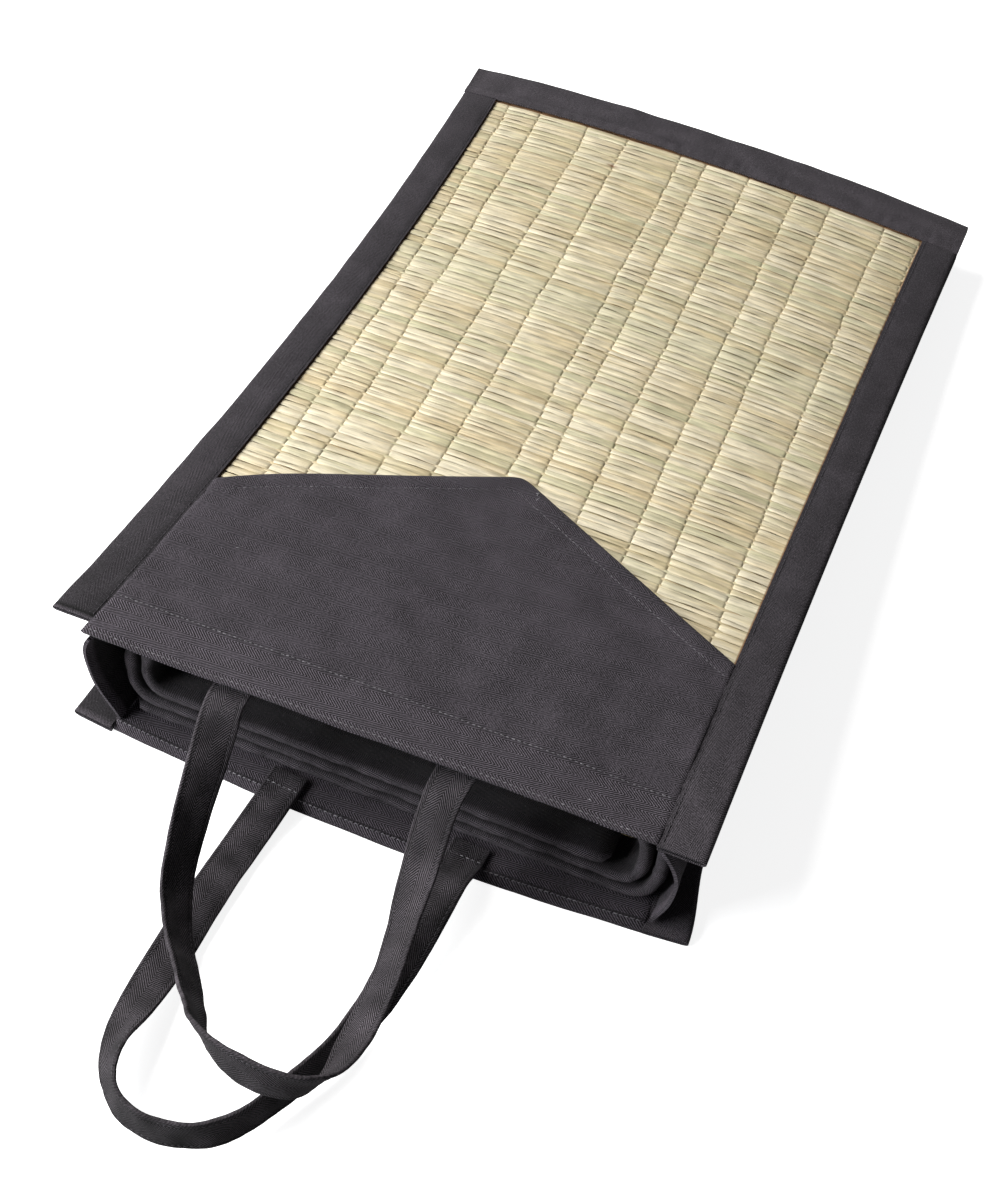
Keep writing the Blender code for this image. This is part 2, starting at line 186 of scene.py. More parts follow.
class MeshMaker:
    """Gathers closed parts, as arrays, and makes one mesh object of them."""

    def __init__(self, name: str) -> None:
        """Start with no parts; the name is the piece's."""
        self.name = name
        self.points: list[Array] = []
        self.faces: list[Array] = []
        self.cloth: list[Array] = []
        self.tone: list[Array] = []
        self.count = 0

    def add(self, points: Array, faces: Array, cloth: Array,
            tone: Array | None = None) -> None:
        """Add a part.

        Its faces are turned over when they enclose a negative volume, so that
        they point outwards.

        Args:
            points: Points, one row each.
            faces: Four point numbers to a row.
            cloth: Two cloth coordinates for each point, in metres.
            tone: Three shares for each point that the finish reads.
        """
        corner = points[faces]
        first = np.einsum("ij,ij->i", corner[:, 0], np.cross(corner[:, 1], corner[:, 2]))
        second = np.einsum("ij,ij->i", corner[:, 0], np.cross(corner[:, 2], corner[:, 3]))
        if first.sum() + second.sum() < 0.0:
            faces = faces[:, ::-1]
        self.points.append(points)
        self.faces.append(faces + self.count)
        self.cloth.append(cloth)
        self.tone.append(np.zeros((len(points), 3)) if tone is None else tone)
        self.count += len(points)

    def add_shell(self, middle: Array, thickness: float | Array, cloth: Array,
                  tone: Array | None = None) -> None:
        """Add a sheet of cloth as a closed shell.

        Half of the thickness is laid off along the normals to either side of
        the middle surface, and the two skins are joined round the rim.

        Args:
            middle: Grid of points of the middle surface.
            thickness: Thickness of the cloth, one number or a grid of them.
            cloth: Grid of cloth coordinates.
            tone: Grid of shares that the finish reads.
        """
        rows, columns = middle.shape[:2]
        half = np.broadcast_to(np.asarray(thickness, float) / 2.0, (rows, columns))[..., None]
        out = normals_of(middle) * half
        number = np.arange(rows * columns).reshape(rows, columns)
        skin = np.stack((number[:-1, :-1], number[:-1, 1:], number[1:, 1:], number[1:, :-1]), -1)
        skin = skin.reshape(-1, 4)
        rim = np.concatenate((number[0, :], number[1:, -1], number[-1, -2::-1], number[-2:0:-1, 0]))
        ahead = np.roll(rim, -1)
        total = rows * columns
        wall = np.stack((rim, rim + total, ahead + total, ahead), -1)
        faces = np.concatenate((skin, skin[:, ::-1] + total, wall))
        points = np.concatenate(((middle + out).reshape(-1, 3), (middle - out).reshape(-1, 3)))
        flat = cloth.reshape(-1, 2)
        shares = None if tone is None else np.tile(tone.reshape(-1, 3), (2, 1))
        self.add(points, faces, np.concatenate((flat, flat)), shares)

    def add_tubes(self, rings: Array, cloth: Array,
                  tone: Array | None = None) -> None:
        """Add many closed tubes of the same make.

        Neighbouring rings are joined by faces, and both ends are closed.

        Args:
            rings: Points by tube, ring and place round the ring (an even count).
            cloth: Cloth coordinates in the same order.
            tone: Shares that the finish reads, in the same order.
        """
        tubes, stations, around = rings.shape[:3]
        number = np.arange(tubes * stations * around).reshape(tubes, stations, around)
        ahead = np.roll(number, -1, axis=2)
        wall = np.stack((number[:, :-1], ahead[:, :-1], ahead[:, 1:], number[:, 1:]), -1)
        low = np.arange(around // 2 - 1)
        strip = np.stack((low, around - 1 - low, around - 2 - low, low + 1), -1)
        front = number[:, 0][:, strip]
        back = number[:, -1][:, strip[:, ::-1]]
        faces = np.concatenate((wall.reshape(-1, 4), front.reshape(-1, 4), back.reshape(-1, 4)))
        shares = None if tone is None else tone.reshape(-1, 3)
        self.add(rings.reshape(-1, 3), faces, cloth.reshape(-1, 2), shares)

    def make(self, finish: "Finish", stands_for: tuple[str, ...] = (),
             sharp_deg: float = 50.0) -> bpy.types.Object:
        """Make the piece's mesh object, dress it and let it ride on the frame.

        Args:
            finish: The finish that dresses it.
            stands_for: CAD nodes that the piece replaces.
            sharp_deg: Angle between faces above which an edge stays sharp.

        Returns:
            The new object.
        """
        points = np.concatenate(self.points) + MOUTH
        faces = np.concatenate(self.faces)
        cloth = np.concatenate(self.cloth)
        tone = np.concatenate(self.tone)
        mesh = bpy.data.meshes.new(self.name)
        mesh.vertices.add(len(points))
        mesh.vertices.foreach_set("co", points.astype(np.float32).ravel())
        mesh.loops.add(faces.size)
        mesh.loops.foreach_set("vertex_index", faces.astype(np.int32).ravel())
        mesh.polygons.add(len(faces))
        mesh.polygons.foreach_set("loop_start", np.arange(0, faces.size, 4, dtype=np.int32))
        mesh.update(calc_edges=True)
        layer = mesh.uv_layers.new(name="cloth")
        layer.data.foreach_set("uv", cloth[faces.ravel()].astype(np.float32).ravel())
        shades = mesh.attributes.new("tone", "FLOAT_COLOR", "POINT")
        colors = np.concatenate((tone, np.ones((len(tone), 1))), -1)
        shades.data.foreach_set("color", colors.astype(np.float32).ravel())
        mesh.shade_smooth()
        mesh.set_sharp_from_angle(angle=math.radians(sharp_deg))
        mesh.validate()
        piece = bpy.data.objects.new(self.name, mesh)
        bpy.context.scene.collection.objects.link(piece)
        mesh.materials.append(finish.material())
        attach(piece, "root")
        if stands_for:
            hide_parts(*stands_for)
        LOG.info("%s: %d points, %d faces", self.name, len(points), len(faces))
        return piece


# ------------------------------------------------------------------ node tools


class Nodes:
    """A short way to add and link shader nodes in one tree."""

    def __init__(self, tree: bpy.types.NodeTree) -> None:
        """Work in this tree."""
        self.tree = tree

    def add(self, kind: str, inputs: dict | None = None, **settings: object) -> bpy.types.Node:
        """Add a node.

        Args:
            kind: Blender's name of the node type.
            inputs: Values or output sockets for its inputs, by name or number.
            settings: Properties of the node.

        Returns:
            The new node.
        """
        node = self.tree.nodes.new(kind)
        for name, value in settings.items():
            setattr(node, name, value)
        self.feed(node, inputs or {})
        return node

    def feed(self, node: bpy.types.Node, inputs: dict) -> None:
        """Set a node's inputs, or link them where the value is an output socket.

        Args:
            node: The node that takes them.
            inputs: Values or output sockets, by the input's name or number.
        """
        for key, value in inputs.items():
            if isinstance(value, bpy.types.NodeSocket):
                self.tree.links.new(value, node.inputs[key])
            else:
                node.inputs[key].default_value = value

    def math(self, operation: str, first: object, second: object = 0.0,
             third: object = 0.0) -> bpy.types.NodeSocket:
        """Return the output of a Math node; the arguments are values or sockets."""
        node = self.add("ShaderNodeMath", {0: first, 1: second, 2: third}, operation=operation)
        return node.outputs[0]

    def times(self, first: object, second: object) -> bpy.types.NodeSocket:
        """Return the product of two values."""
        return self.math("MULTIPLY", first, second)

    def less(self, first: object, second: object) -> bpy.types.NodeSocket:
        """Return the first value less the second."""
        return self.math("SUBTRACT", first, second)

    def scaled(self, value: object, factor: object, base: object) -> bpy.types.NodeSocket:
        """Return the value times a factor, plus a base."""
        return self.math("MULTIPLY_ADD", value, factor, base)

    def remap(self, value: object, low: float, high: float, to_low: float,
              to_high: float) -> bpy.types.NodeSocket:
        """Return the value moved from one range to another and held inside it."""
        node = self.add("ShaderNodeMapRange", {0: value, 1: low, 2: high, 3: to_low, 4: to_high},
                        interpolation_type="SMOOTHSTEP")
        return node.outputs[0]

    def mix(self, share: object, first: object, second: object,
            blend: str = "MIX") -> bpy.types.NodeSocket:
        """Return two colours mixed by a share, under a blend mode."""
        node = self.add("ShaderNodeMix", {0: share, 6: first, 7: second}, data_type="RGBA",
                        blend_type=blend)
        return node.outputs[2]

    def shaded(self, color: object, share: object) -> bpy.types.NodeSocket:
        """Return a colour with each of its channels multiplied by a share."""
        grey = self.add("ShaderNodeCombineColor", {0: share, 1: share, 2: share})
        return self.mix(1.0, color, grey.outputs[0], "MULTIPLY")

    def bump(self, strength: float, distance: float, height: object) -> bpy.types.NodeSocket:
        """Return the normal of a relief of this height."""
        return self.add("ShaderNodeBump", {"Strength": strength, "Distance": distance,
                                           "Height": height}).outputs[0]

    def noise(self, vector: object, scale: float, detail: float = 2.0,
              roughness: float = 0.5) -> bpy.types.NodeSocket:
        """Return the value of a noise texture read at a vector."""
        node = self.add("ShaderNodeTexNoise", {"Vector": vector, "Scale": scale,
                                               "Detail": detail, "Roughness": roughness})
        return node.outputs["Fac"]

    def stretched(self, vector: object, across: float, along: float) -> bpy.types.NodeSocket:
        """Return a vector scaled apart along its two first axes."""
        node = self.add("ShaderNodeMapping", {"Vector": vector, "Scale": (across, along, 1.0)})
        return node.outputs[0]


def new_group(name: str, inputs: dict[str, object],
              outputs: dict[str, str]) -> tuple[Nodes, bpy.types.Node, bpy.types.Node]:
    """Start a shader node group.

    Args:
        name: Name of the group.
        inputs: Default values by name; a number, a vector or a colour.
        outputs: Socket types by name.

    Returns:
        The tools for its tree, its input node and its output node.
    """
    tree = bpy.data.node_groups.new(name, "ShaderNodeTree")
    for label, value in inputs.items():
        if isinstance(value, float):
            kind = "NodeSocketFloat"
        else:
            kind = "NodeSocketVector" if len(value) == 3 else "NodeSocketColor"
        socket = tree.interface.new_socket(name=label, in_out="INPUT", socket_type=kind)
        socket.default_value = value
    for label, kind in outputs.items():
        tree.interface.new_socket(name=label, in_out="OUTPUT", socket_type=kind)
    nodes = Nodes(tree)
    return nodes, nodes.add("NodeGroupInput"), nodes.add("NodeGroupOutput")


def herringbone_group() -> bpy.types.NodeTree:
    """Return the group that draws herringbone twill.

    Ribs run at a slant that turns over from one band to the next: the phase is
    the first cloth coordinate plus or minus the second, folded at each band.
    Flecks of lighter fibre and a soft cloudiness break it up.

    Returns:
        The node group; its outputs are Height, Shade and Fleck.
    """
    name = "herringbone_twill"
    if name in bpy.data.node_groups:
        return bpy.data.node_groups[name]
    nodes, source, target = new_group(
        name,
        {"Cloth": (0.0, 0.0, 0.0), "Rib": 0.0016, "Band": 0.009, "Flecks": 0.5, "Pattern": 1.0},
        {"Height": "NodeSocketFloat", "Shade": "NodeSocketFloat", "Fleck": "NodeSocketFloat"})
    cloth = source.outputs["Cloth"]
    wander = nodes.add("ShaderNodeTexNoise", {"Vector": cloth, "Scale": 130.0, "Detail": 2.0})
    shift = nodes.add("ShaderNodeVectorMath", {0: wander.outputs["Color"], 1: (0.5, 0.5, 0.5)},
                      operation="SUBTRACT")
    bent = nodes.add("ShaderNodeVectorMath", {0: shift.outputs[0], 1: (0.0004, 0.0004, 0.0),
                                              2: cloth}, operation="MULTIPLY_ADD")
    split = nodes.add("ShaderNodeSeparateXYZ", {0: bent.outputs[0]})
    folded = nodes.math("PINGPONG", split.outputs[1], source.outputs["Band"])
    slant = nodes.scaled(folded, 1.25, split.outputs[0])
    phase = nodes.math("DIVIDE", slant, source.outputs["Rib"])
    wave = nodes.math("SINE", nodes.times(phase, TAU))
    ridge = nodes.remap(wave, -0.3, 1.0, 0.0, 1.0)
    across = nodes.math("DIVIDE", split.outputs[1], nodes.times(source.outputs["Rib"], 0.6))
    yarn = nodes.math("SINE", nodes.times(across, TAU))
    woven = nodes.scaled(yarn, 0.12, ridge)
    patchy = nodes.remap(nodes.noise(cloth, 60.0, 2.0), 0.3, 0.65, 0.55, 1.2)
    strength = nodes.times(source.outputs["Pattern"], patchy)
    height = nodes.times(woven, strength)
    cloud = nodes.noise(cloth, 38.0, 3.0, 0.55)
    fine = nodes.noise(nodes.stretched(cloth, 1.0, 2.2), 520.0, 2.0, 0.7)
    lit = nodes.scaled(nodes.less(woven, 0.42), nodes.times(strength, 1.80),
                       nodes.remap(cloud, 0.3, 0.7, 0.84, 1.16))
    shade = nodes.math("ADD", lit, nodes.remap(fine, 0.25, 0.75, -0.55, 0.55))
    shade = nodes.math("MAXIMUM", shade, 0.15)
    fuzz = nodes.noise(nodes.stretched(cloth, 1.0, 1.6), 760.0, 2.0, 0.6)
    fleck = nodes.times(nodes.remap(fuzz, 0.60, 0.82, 0.0, 1.0), source.outputs["Flecks"])
    nodes.feed(target, {"Height": height, "Shade": shade, "Fleck": fleck})
    return nodes.tree


def fibre_group() -> bpy.types.NodeTree:
    """Return the group that draws the fibres and faults of dry grass.

    Noise is stretched along the strand, once fine for the fibres and once
    broad for streaks, and rare spots of noise make brown marks.  The rim is
    the line of painted shade where a panel's grass goes under its tapes.

    Returns:
        The node group; its outputs are Height, Streak, Spot and Rim.
    """
    name = "dry_grass_fibres"
    if name in bpy.data.node_groups:
        return bpy.data.node_groups[name]
    nodes, source, target = new_group(
        name, {"Cloth": (0.0, 0.0, 0.0), "Spots": 1.0},
        {"Height": "NodeSocketFloat", "Streak": "NodeSocketFloat", "Spot": "NodeSocketFloat",
         "Rim": "NodeSocketFloat"})
    cloth = source.outputs["Cloth"]
    split = nodes.add("ShaderNodeSeparateXYZ", {0: cloth})
    beyond = nodes.math("MAXIMUM",
                        nodes.less(nodes.math("ABSOLUTE", split.outputs[0]), GRASS_EDGE),
                        nodes.less(split.outputs[1], GRASS_BACK))
    # Painted shade: a mask along the line where the grass goes under the tapes.
    rim = nodes.remap(beyond, -0.0016, -0.0004, 0.0, 1.0)
    fibres = nodes.noise(nodes.stretched(cloth, 22.0, 1050.0), 1.0, 3.0, 0.6)
    streaks = nodes.noise(nodes.stretched(cloth, 25.0, 520.0), 1.0, 3.0, 0.6)
    patches = nodes.noise(nodes.stretched(cloth, 60.0, 260.0), 1.0, 2.0, 0.5)
    spots = nodes.noise(nodes.stretched(cloth, 45.0, 190.0), 1.0, 1.0, 0.4)
    streak = nodes.math("ADD", nodes.remap(streaks, 0.25, 0.75, -0.5, 0.5),
                        nodes.remap(patches, 0.3, 0.7, -0.4, 0.4))
    spot = nodes.times(nodes.remap(spots, 0.80, 0.86, 0.0, 1.0), source.outputs["Spots"])
    nodes.feed(target, {"Height": fibres, "Streak": streak, "Spot": spot, "Rim": rim})
    return nodes.tree


# -------------------------------------------------------------------- finishes


@dataclass(frozen=True)
class Finish:
    """What all finishes share: a material made once, by name."""

    name: str

    def material(self) -> bpy.types.Material:
        """Return the finish's material, made on first use."""
        if self.name in bpy.data.materials:
            return bpy.data.materials[self.name]
        material = bpy.data.materials.new(self.name)
        material.use_nodes = True
        nodes = Nodes(material.node_tree)
        shader = material.node_tree.nodes["Principled BSDF"]
        self.dress(nodes, shader)
        return material

    def dress(self, nodes: Nodes, shader: bpy.types.Node) -> None:
        """Link the finish's nodes to the shader; each finish has its own."""
        raise NotImplementedError

    def cloth(self, nodes: Nodes) -> bpy.types.NodeSocket:
        """Return the piece's cloth coordinates."""
        return nodes.add("ShaderNodeUVMap", uv_map="cloth").outputs[0]

    def tones(self, nodes: Nodes) -> bpy.types.NodeSocketCollection:
        """Return the three shares of the piece's tone attribute."""
        read = nodes.add("ShaderNodeAttribute", attribute_name="tone")
        return nodes.add("ShaderNodeSeparateColor", {0: read.outputs["Color"]}).outputs


@dataclass(frozen=True)
class StrawFinish(Finish):
    """Dry grass: cream to tan, some strands greenish, with fibres and brown marks."""

    pale: Quad = (0.735, 0.660, 0.485, 1.0)
    tan: Quad = (0.615, 0.500, 0.300, 1.0)
    green: Quad = (0.53, 0.515, 0.325, 1.0)
    brown: Quad = (0.20, 0.075, 0.022, 1.0)
    roughness: float = 0.37
    rough_swing: float = 0.22
    relief: float = 0.0008
    # Strength of the painted shade along the rim where the grass goes under the tapes.
    rim: float = 0.0

    def dress(self, nodes: Nodes, shader: bpy.types.Node) -> None:
        """Mix the strand's own tone with streaks, marks, painted shade in the dives and painted
        shade along the rim.
        """
        tone = self.tones(nodes)
        fibre = nodes.add("ShaderNodeGroup", {"Cloth": self.cloth(nodes)},
                          node_tree=fibre_group()).outputs
        # The tan share is lower where the broad strands' climbs carry a painted highlight.
        base = nodes.mix(tone[0], self.pale, self.tan)
        base = nodes.mix(tone[1], base, self.green)
        base = nodes.shaded(base, nodes.scaled(fibre["Streak"], 0.34, 1.0))
        # Darkened towards brown by marks, by painted shade in the dives and by painted shade along
        # the rim.
        stains_and_painted_shade = nodes.math("MAXIMUM", tone[2], nodes.times(fibre["Spot"], 0.7))
        if self.rim:
            stains_and_painted_shade = nodes.math("MAXIMUM", stains_and_painted_shade, nodes.times(fibre["Rim"], self.rim))
        rough = nodes.scaled(fibre["Height"], self.rough_swing,
                           self.roughness - self.rough_swing / 2.0)
        nodes.feed(shader, {"Base Color": nodes.mix(stains_and_painted_shade, base, self.brown),
                            "Roughness": rough, "Specular IOR Level": 0.45,
                            "Normal": nodes.bump(0.7, self.relief, fibre["Height"])})


@dataclass(frozen=True)
class TwillFinish(Finish):
    """Charcoal cotton herringbone with light flecks and a soft sheen."""

    color: Quad = (0.047, 0.0405, 0.0485, 1.0)
    fleck: Quad = (0.26, 0.24, 0.27, 1.0)
    rib: float = 0.0020
    band: float = 0.0060
    flecks: float = 0.50
    pattern: float = 1.0
    relief: float = 0.00030

    def dress(self, nodes: Nodes, shader: bpy.types.Node) -> None:
        """Shade the colour by the ribs, lay flecks over it and raise the ribs.

        The tone attribute's three shares are how light, how plain and how dark
        the cloth is at a point.  The light share is rubbed wear and painted
        light, and the dark share is painted shade.
        """
        tone = self.tones(nodes)
        pattern = nodes.scaled(tone[1], -self.pattern, self.pattern)
        twill = nodes.add("ShaderNodeGroup", {
            "Cloth": self.cloth(nodes), "Rib": self.rib, "Band": self.band,
            "Flecks": self.flecks, "Pattern": pattern}, node_tree=herringbone_group()).outputs
        # The light share raises the colour (rubbed wear and painted light); the dark share lowers
        # it (painted shade).
        painted_light_and_wear = nodes.scaled(tone[0], 0.8, 1.0)
        dark = nodes.scaled(tone[2], -0.7, painted_light_and_wear)
        base = nodes.shaded(self.color, nodes.times(twill["Shade"], dark))
        nodes.feed(shader, {"Base Color": nodes.mix(twill["Fleck"], base, self.fleck),
                            "Roughness": 0.86, "Specular IOR Level": 0.25,
                            "Sheen Weight": 0.04, "Sheen Roughness": 0.5,
                            "Normal": nodes.bump(0.8, self.relief, twill["Height"])})


@dataclass(frozen=True)
class ThreadFinish(Finish):
    """Sewing thread, some stitches lighter than others."""

    color: Quad = (0.050, 0.044, 0.052, 1.0)
    light: Quad = (0.34, 0.33, 0.35, 1.0)

    def dress(self, nodes: Nodes, shader: bpy.types.Node) -> None:
        """Mix the two colours by the stitch's own tone, with a twist of fine noise."""
        tone = self.tones(nodes)
        twist = nodes.remap(nodes.noise(self.cloth(nodes), 1800.0, 1.0), 0.3, 0.7, 0.8, 1.15)
        base = nodes.shaded(nodes.mix(tone[0], self.color, self.light), twist)
        nodes.feed(shader, {"Base Color": base, "Roughness": 0.6})


# The panels' grass gets painted shade along its rim under the tapes.
STRAW = StrawFinish("dry_grass", rim=0.85)
MAT_STRAW = StrawFinish("shaded_grass", pale=(0.66, 0.60, 0.41, 1.0))
WARP = StrawFinish("warp_cotton", pale=(0.50, 0.47, 0.33, 1.0), tan=(0.42, 0.37, 0.24, 1.0))
TWILL = TwillFinish("charcoal_herringbone")
TAPE = TwillFinish("charcoal_binding", color=(0.044, 0.0385, 0.0445, 1.0), rib=0.0014, band=0.0080)
WEBBING = TwillFinish("charcoal_webbing", color=(0.035, 0.0305, 0.0350, 1.0), rib=0.0019,
                      band=0.0080, flecks=0.45, pattern=1.45)
THREAD = ThreadFinish("sewing_thread")


# ------------------------------------------------------------------- bag shape


@dataclass(frozen=True)
class BagForm:
    """The bag's two faces as smooth surfaces, the same as the CAD's.

    A pair of heights is at the mouth and at the back, another pair is at the
    left and at the right, and the crown is at the mouth, half way and back.
    """

    length: float = 0.640
    width: float = 0.407
    left_z: Pair = (0.0923, 0.0581)
    right_z: Pair = (0.0951, 0.0357)
    side_arch: Pair = (0.005, -0.0038)
    crown: Triple = (0.0006, 0.0038, 0.0067)
    crown_power: float = 2.5
    side_bow: Pair = (0.0163, 0.0026)
    back_bow: float = 0.0037
    bottom_inset: Pair = (0.007, 0.0085)
    bottom_front_bow: float = 0.0105
    bottom_flare: float = 0.060
    right_seam: float = 0.0240
    cloth: float = 0.0012
    depth: float = 0.0064
    side_tape: float = 0.0274
    back_tape: float = 0.0385
    hem: float = 0.030
    clear: float = 0.0005

    def height(self, x: Array, y: Array) -> Array:
        """Return the height of the top face.

        The two side edges are straight lines plus a low arch, the surface is
        straight between them, and a crown rises towards the middle.

        Args:
            x: Place across the bag before its sides are drawn in.
            y: Distance back from the mouth.

        Returns:
            The height of the outer face above the floor.
        """
        u, v = x / (self.width / 2.0), y / self.length
        left = self.left_z[0] * (1 - v) + self.left_z[1] * v + self.side_arch[0] * hump(v)
        right = self.right_z[0] * (1 - v) + self.right_z[1] * v + self.side_arch[1] * hump(v)
        front, middle, back = self.crown
        crown = front * (1 - v) + back * v + (middle - (front + back) / 2) * hump(v)
        side = left * (1 - u) / 2 + right * (1 + u) / 2
        return side + crown * (1 - np.abs(u) ** self.crown_power)

    def grass_edge(self) -> float:
        """Return half of the width that the side tapes leave bare."""
        return self.width / 2.0 - self.side_tape

    def drawn_in(self, x: Array, y: Array) -> Array:
        """Return x with the bag's sides drawn inward, most at half length."""
        u = x / (self.width / 2.0)
        inward = self.side_bow[0] * (1 - u) / 2 - self.side_bow[1] * (1 + u) / 2
        return x + inward * hump(y / self.length)

    def place(self, face: Face, x: Array, y: Array, depth: Array) -> Array:
        """Return points of a face.

        Args:
            face: The top or the bottom face.
            x: Place across the bag before its sides are drawn in.
            y: Distance back from the mouth.
            depth: Depth below the outer face, towards the inside.

        Returns:
            The points.
        """
        x, y, depth = np.broadcast_arrays(x, y, depth)
        u, v = x / (self.width / 2.0), y / self.length
        back = self.back_bow * (1 - u * u) * v
        across = self.drawn_in(x, y)
        if face is Face.TOP:
            return np.stack((across, y + back, self.height(x, y) - depth), -1)
        seam_u = 1.0 - self.right_seam / (self.width / 2.0)
        flange = np.maximum((u - seam_u) / (1 - seam_u), 0.0)
        left = self.bottom_inset[0] * (1 - v) * (1 - u) / 2
        right = self.bottom_inset[1] * flange * eased(y / self.bottom_flare)
        forward = self.bottom_front_bow * (1 - u * u) * (1 - v)
        return np.stack((across + left - right, y - forward + back, depth), -1)

    def out(self, face: Face) -> Array:
        """Return the rough outward direction of a face."""
        return np.array((0.0, 0.0, 1.0 if face is Face.TOP else -1.0))

    def kept(self, face: Face, relief: Array) -> Array:
        """Return relief that does not press the bottom face into the floor."""
        return relief if face is Face.TOP else np.minimum(relief, 0.0)


# ---------------------------------------------------------------------- stitches


@dataclass(frozen=True)
class Seam:
    """A row of machine stitches along a path on cloth."""

    pitch: float = 0.0034
    stitch: float = 0.0026
    thread: float = 0.00026
    light: float = 0.25
    wander: float = 0.00012

    def sew(self, maker: MeshMaker, path: Array, up: Array, seed: int) -> None:
        """Sew stitches along a path into a mesh.

        Each stitch is a short tube whose rings swell to the thread's radius in
        the middle, dips into the cloth at both ends and lies along the path.

        Args:
            maker: The mesh that takes the stitches.
            path: Points that the seam follows, on the cloth's face.
            up: The cloth's outward direction, one for all or one for each point.
            seed: Seed of the differences between stitches.
        """
        rng = np.random.default_rng(seed)
        travel = arc_lengths(path)
        count = max(int(travel[-1] / self.pitch), 1)
        middle = (np.arange(count) + 0.5) * travel[-1] / count
        middle += rng.normal(0.0, self.wander, count)
        offsets = np.array((-0.5, -0.33, 0.33, 0.5)) * self.stitch
        swell = np.array((0.35, 1.0, 1.0, 0.35)) * self.thread
        sunk = np.array((-1.5, 0.3, 0.3, -1.5)) * self.thread
        at = np.clip(middle[:, None] + offsets, 0.0, travel[-1])
        spot = read_at(at, travel, path)
        raised = unit(read_at(middle, travel, np.broadcast_to(up, path.shape)))
        along = unit(spot[:, -1] - spot[:, 0])
        across = np.cross(raised, along)
        center = spot + sunk[None, :, None] * raised[:, None]
        turn = np.arange(6) / 6.0 * TAU
        ring = (across[:, None, None] * np.cos(turn)[None, None, :, None]
                + raised[:, None, None] * np.sin(turn)[None, None, :, None])
        rings = center[:, :, None] + ring * swell[None, :, None, None]
        tone = np.zeros(rings.shape)
        bright = self.light * (0.45 + rng.random(count) ** 2)
        tone[..., 0] = bright[:, None, None].clip(0.0, 1.0)
        cloth = stacked(at[:, :, None], turn[None, None, :] * 0.0001)
        maker.add_tubes(rings, cloth, tone)


# --------------------------------------------------------------------- the straw


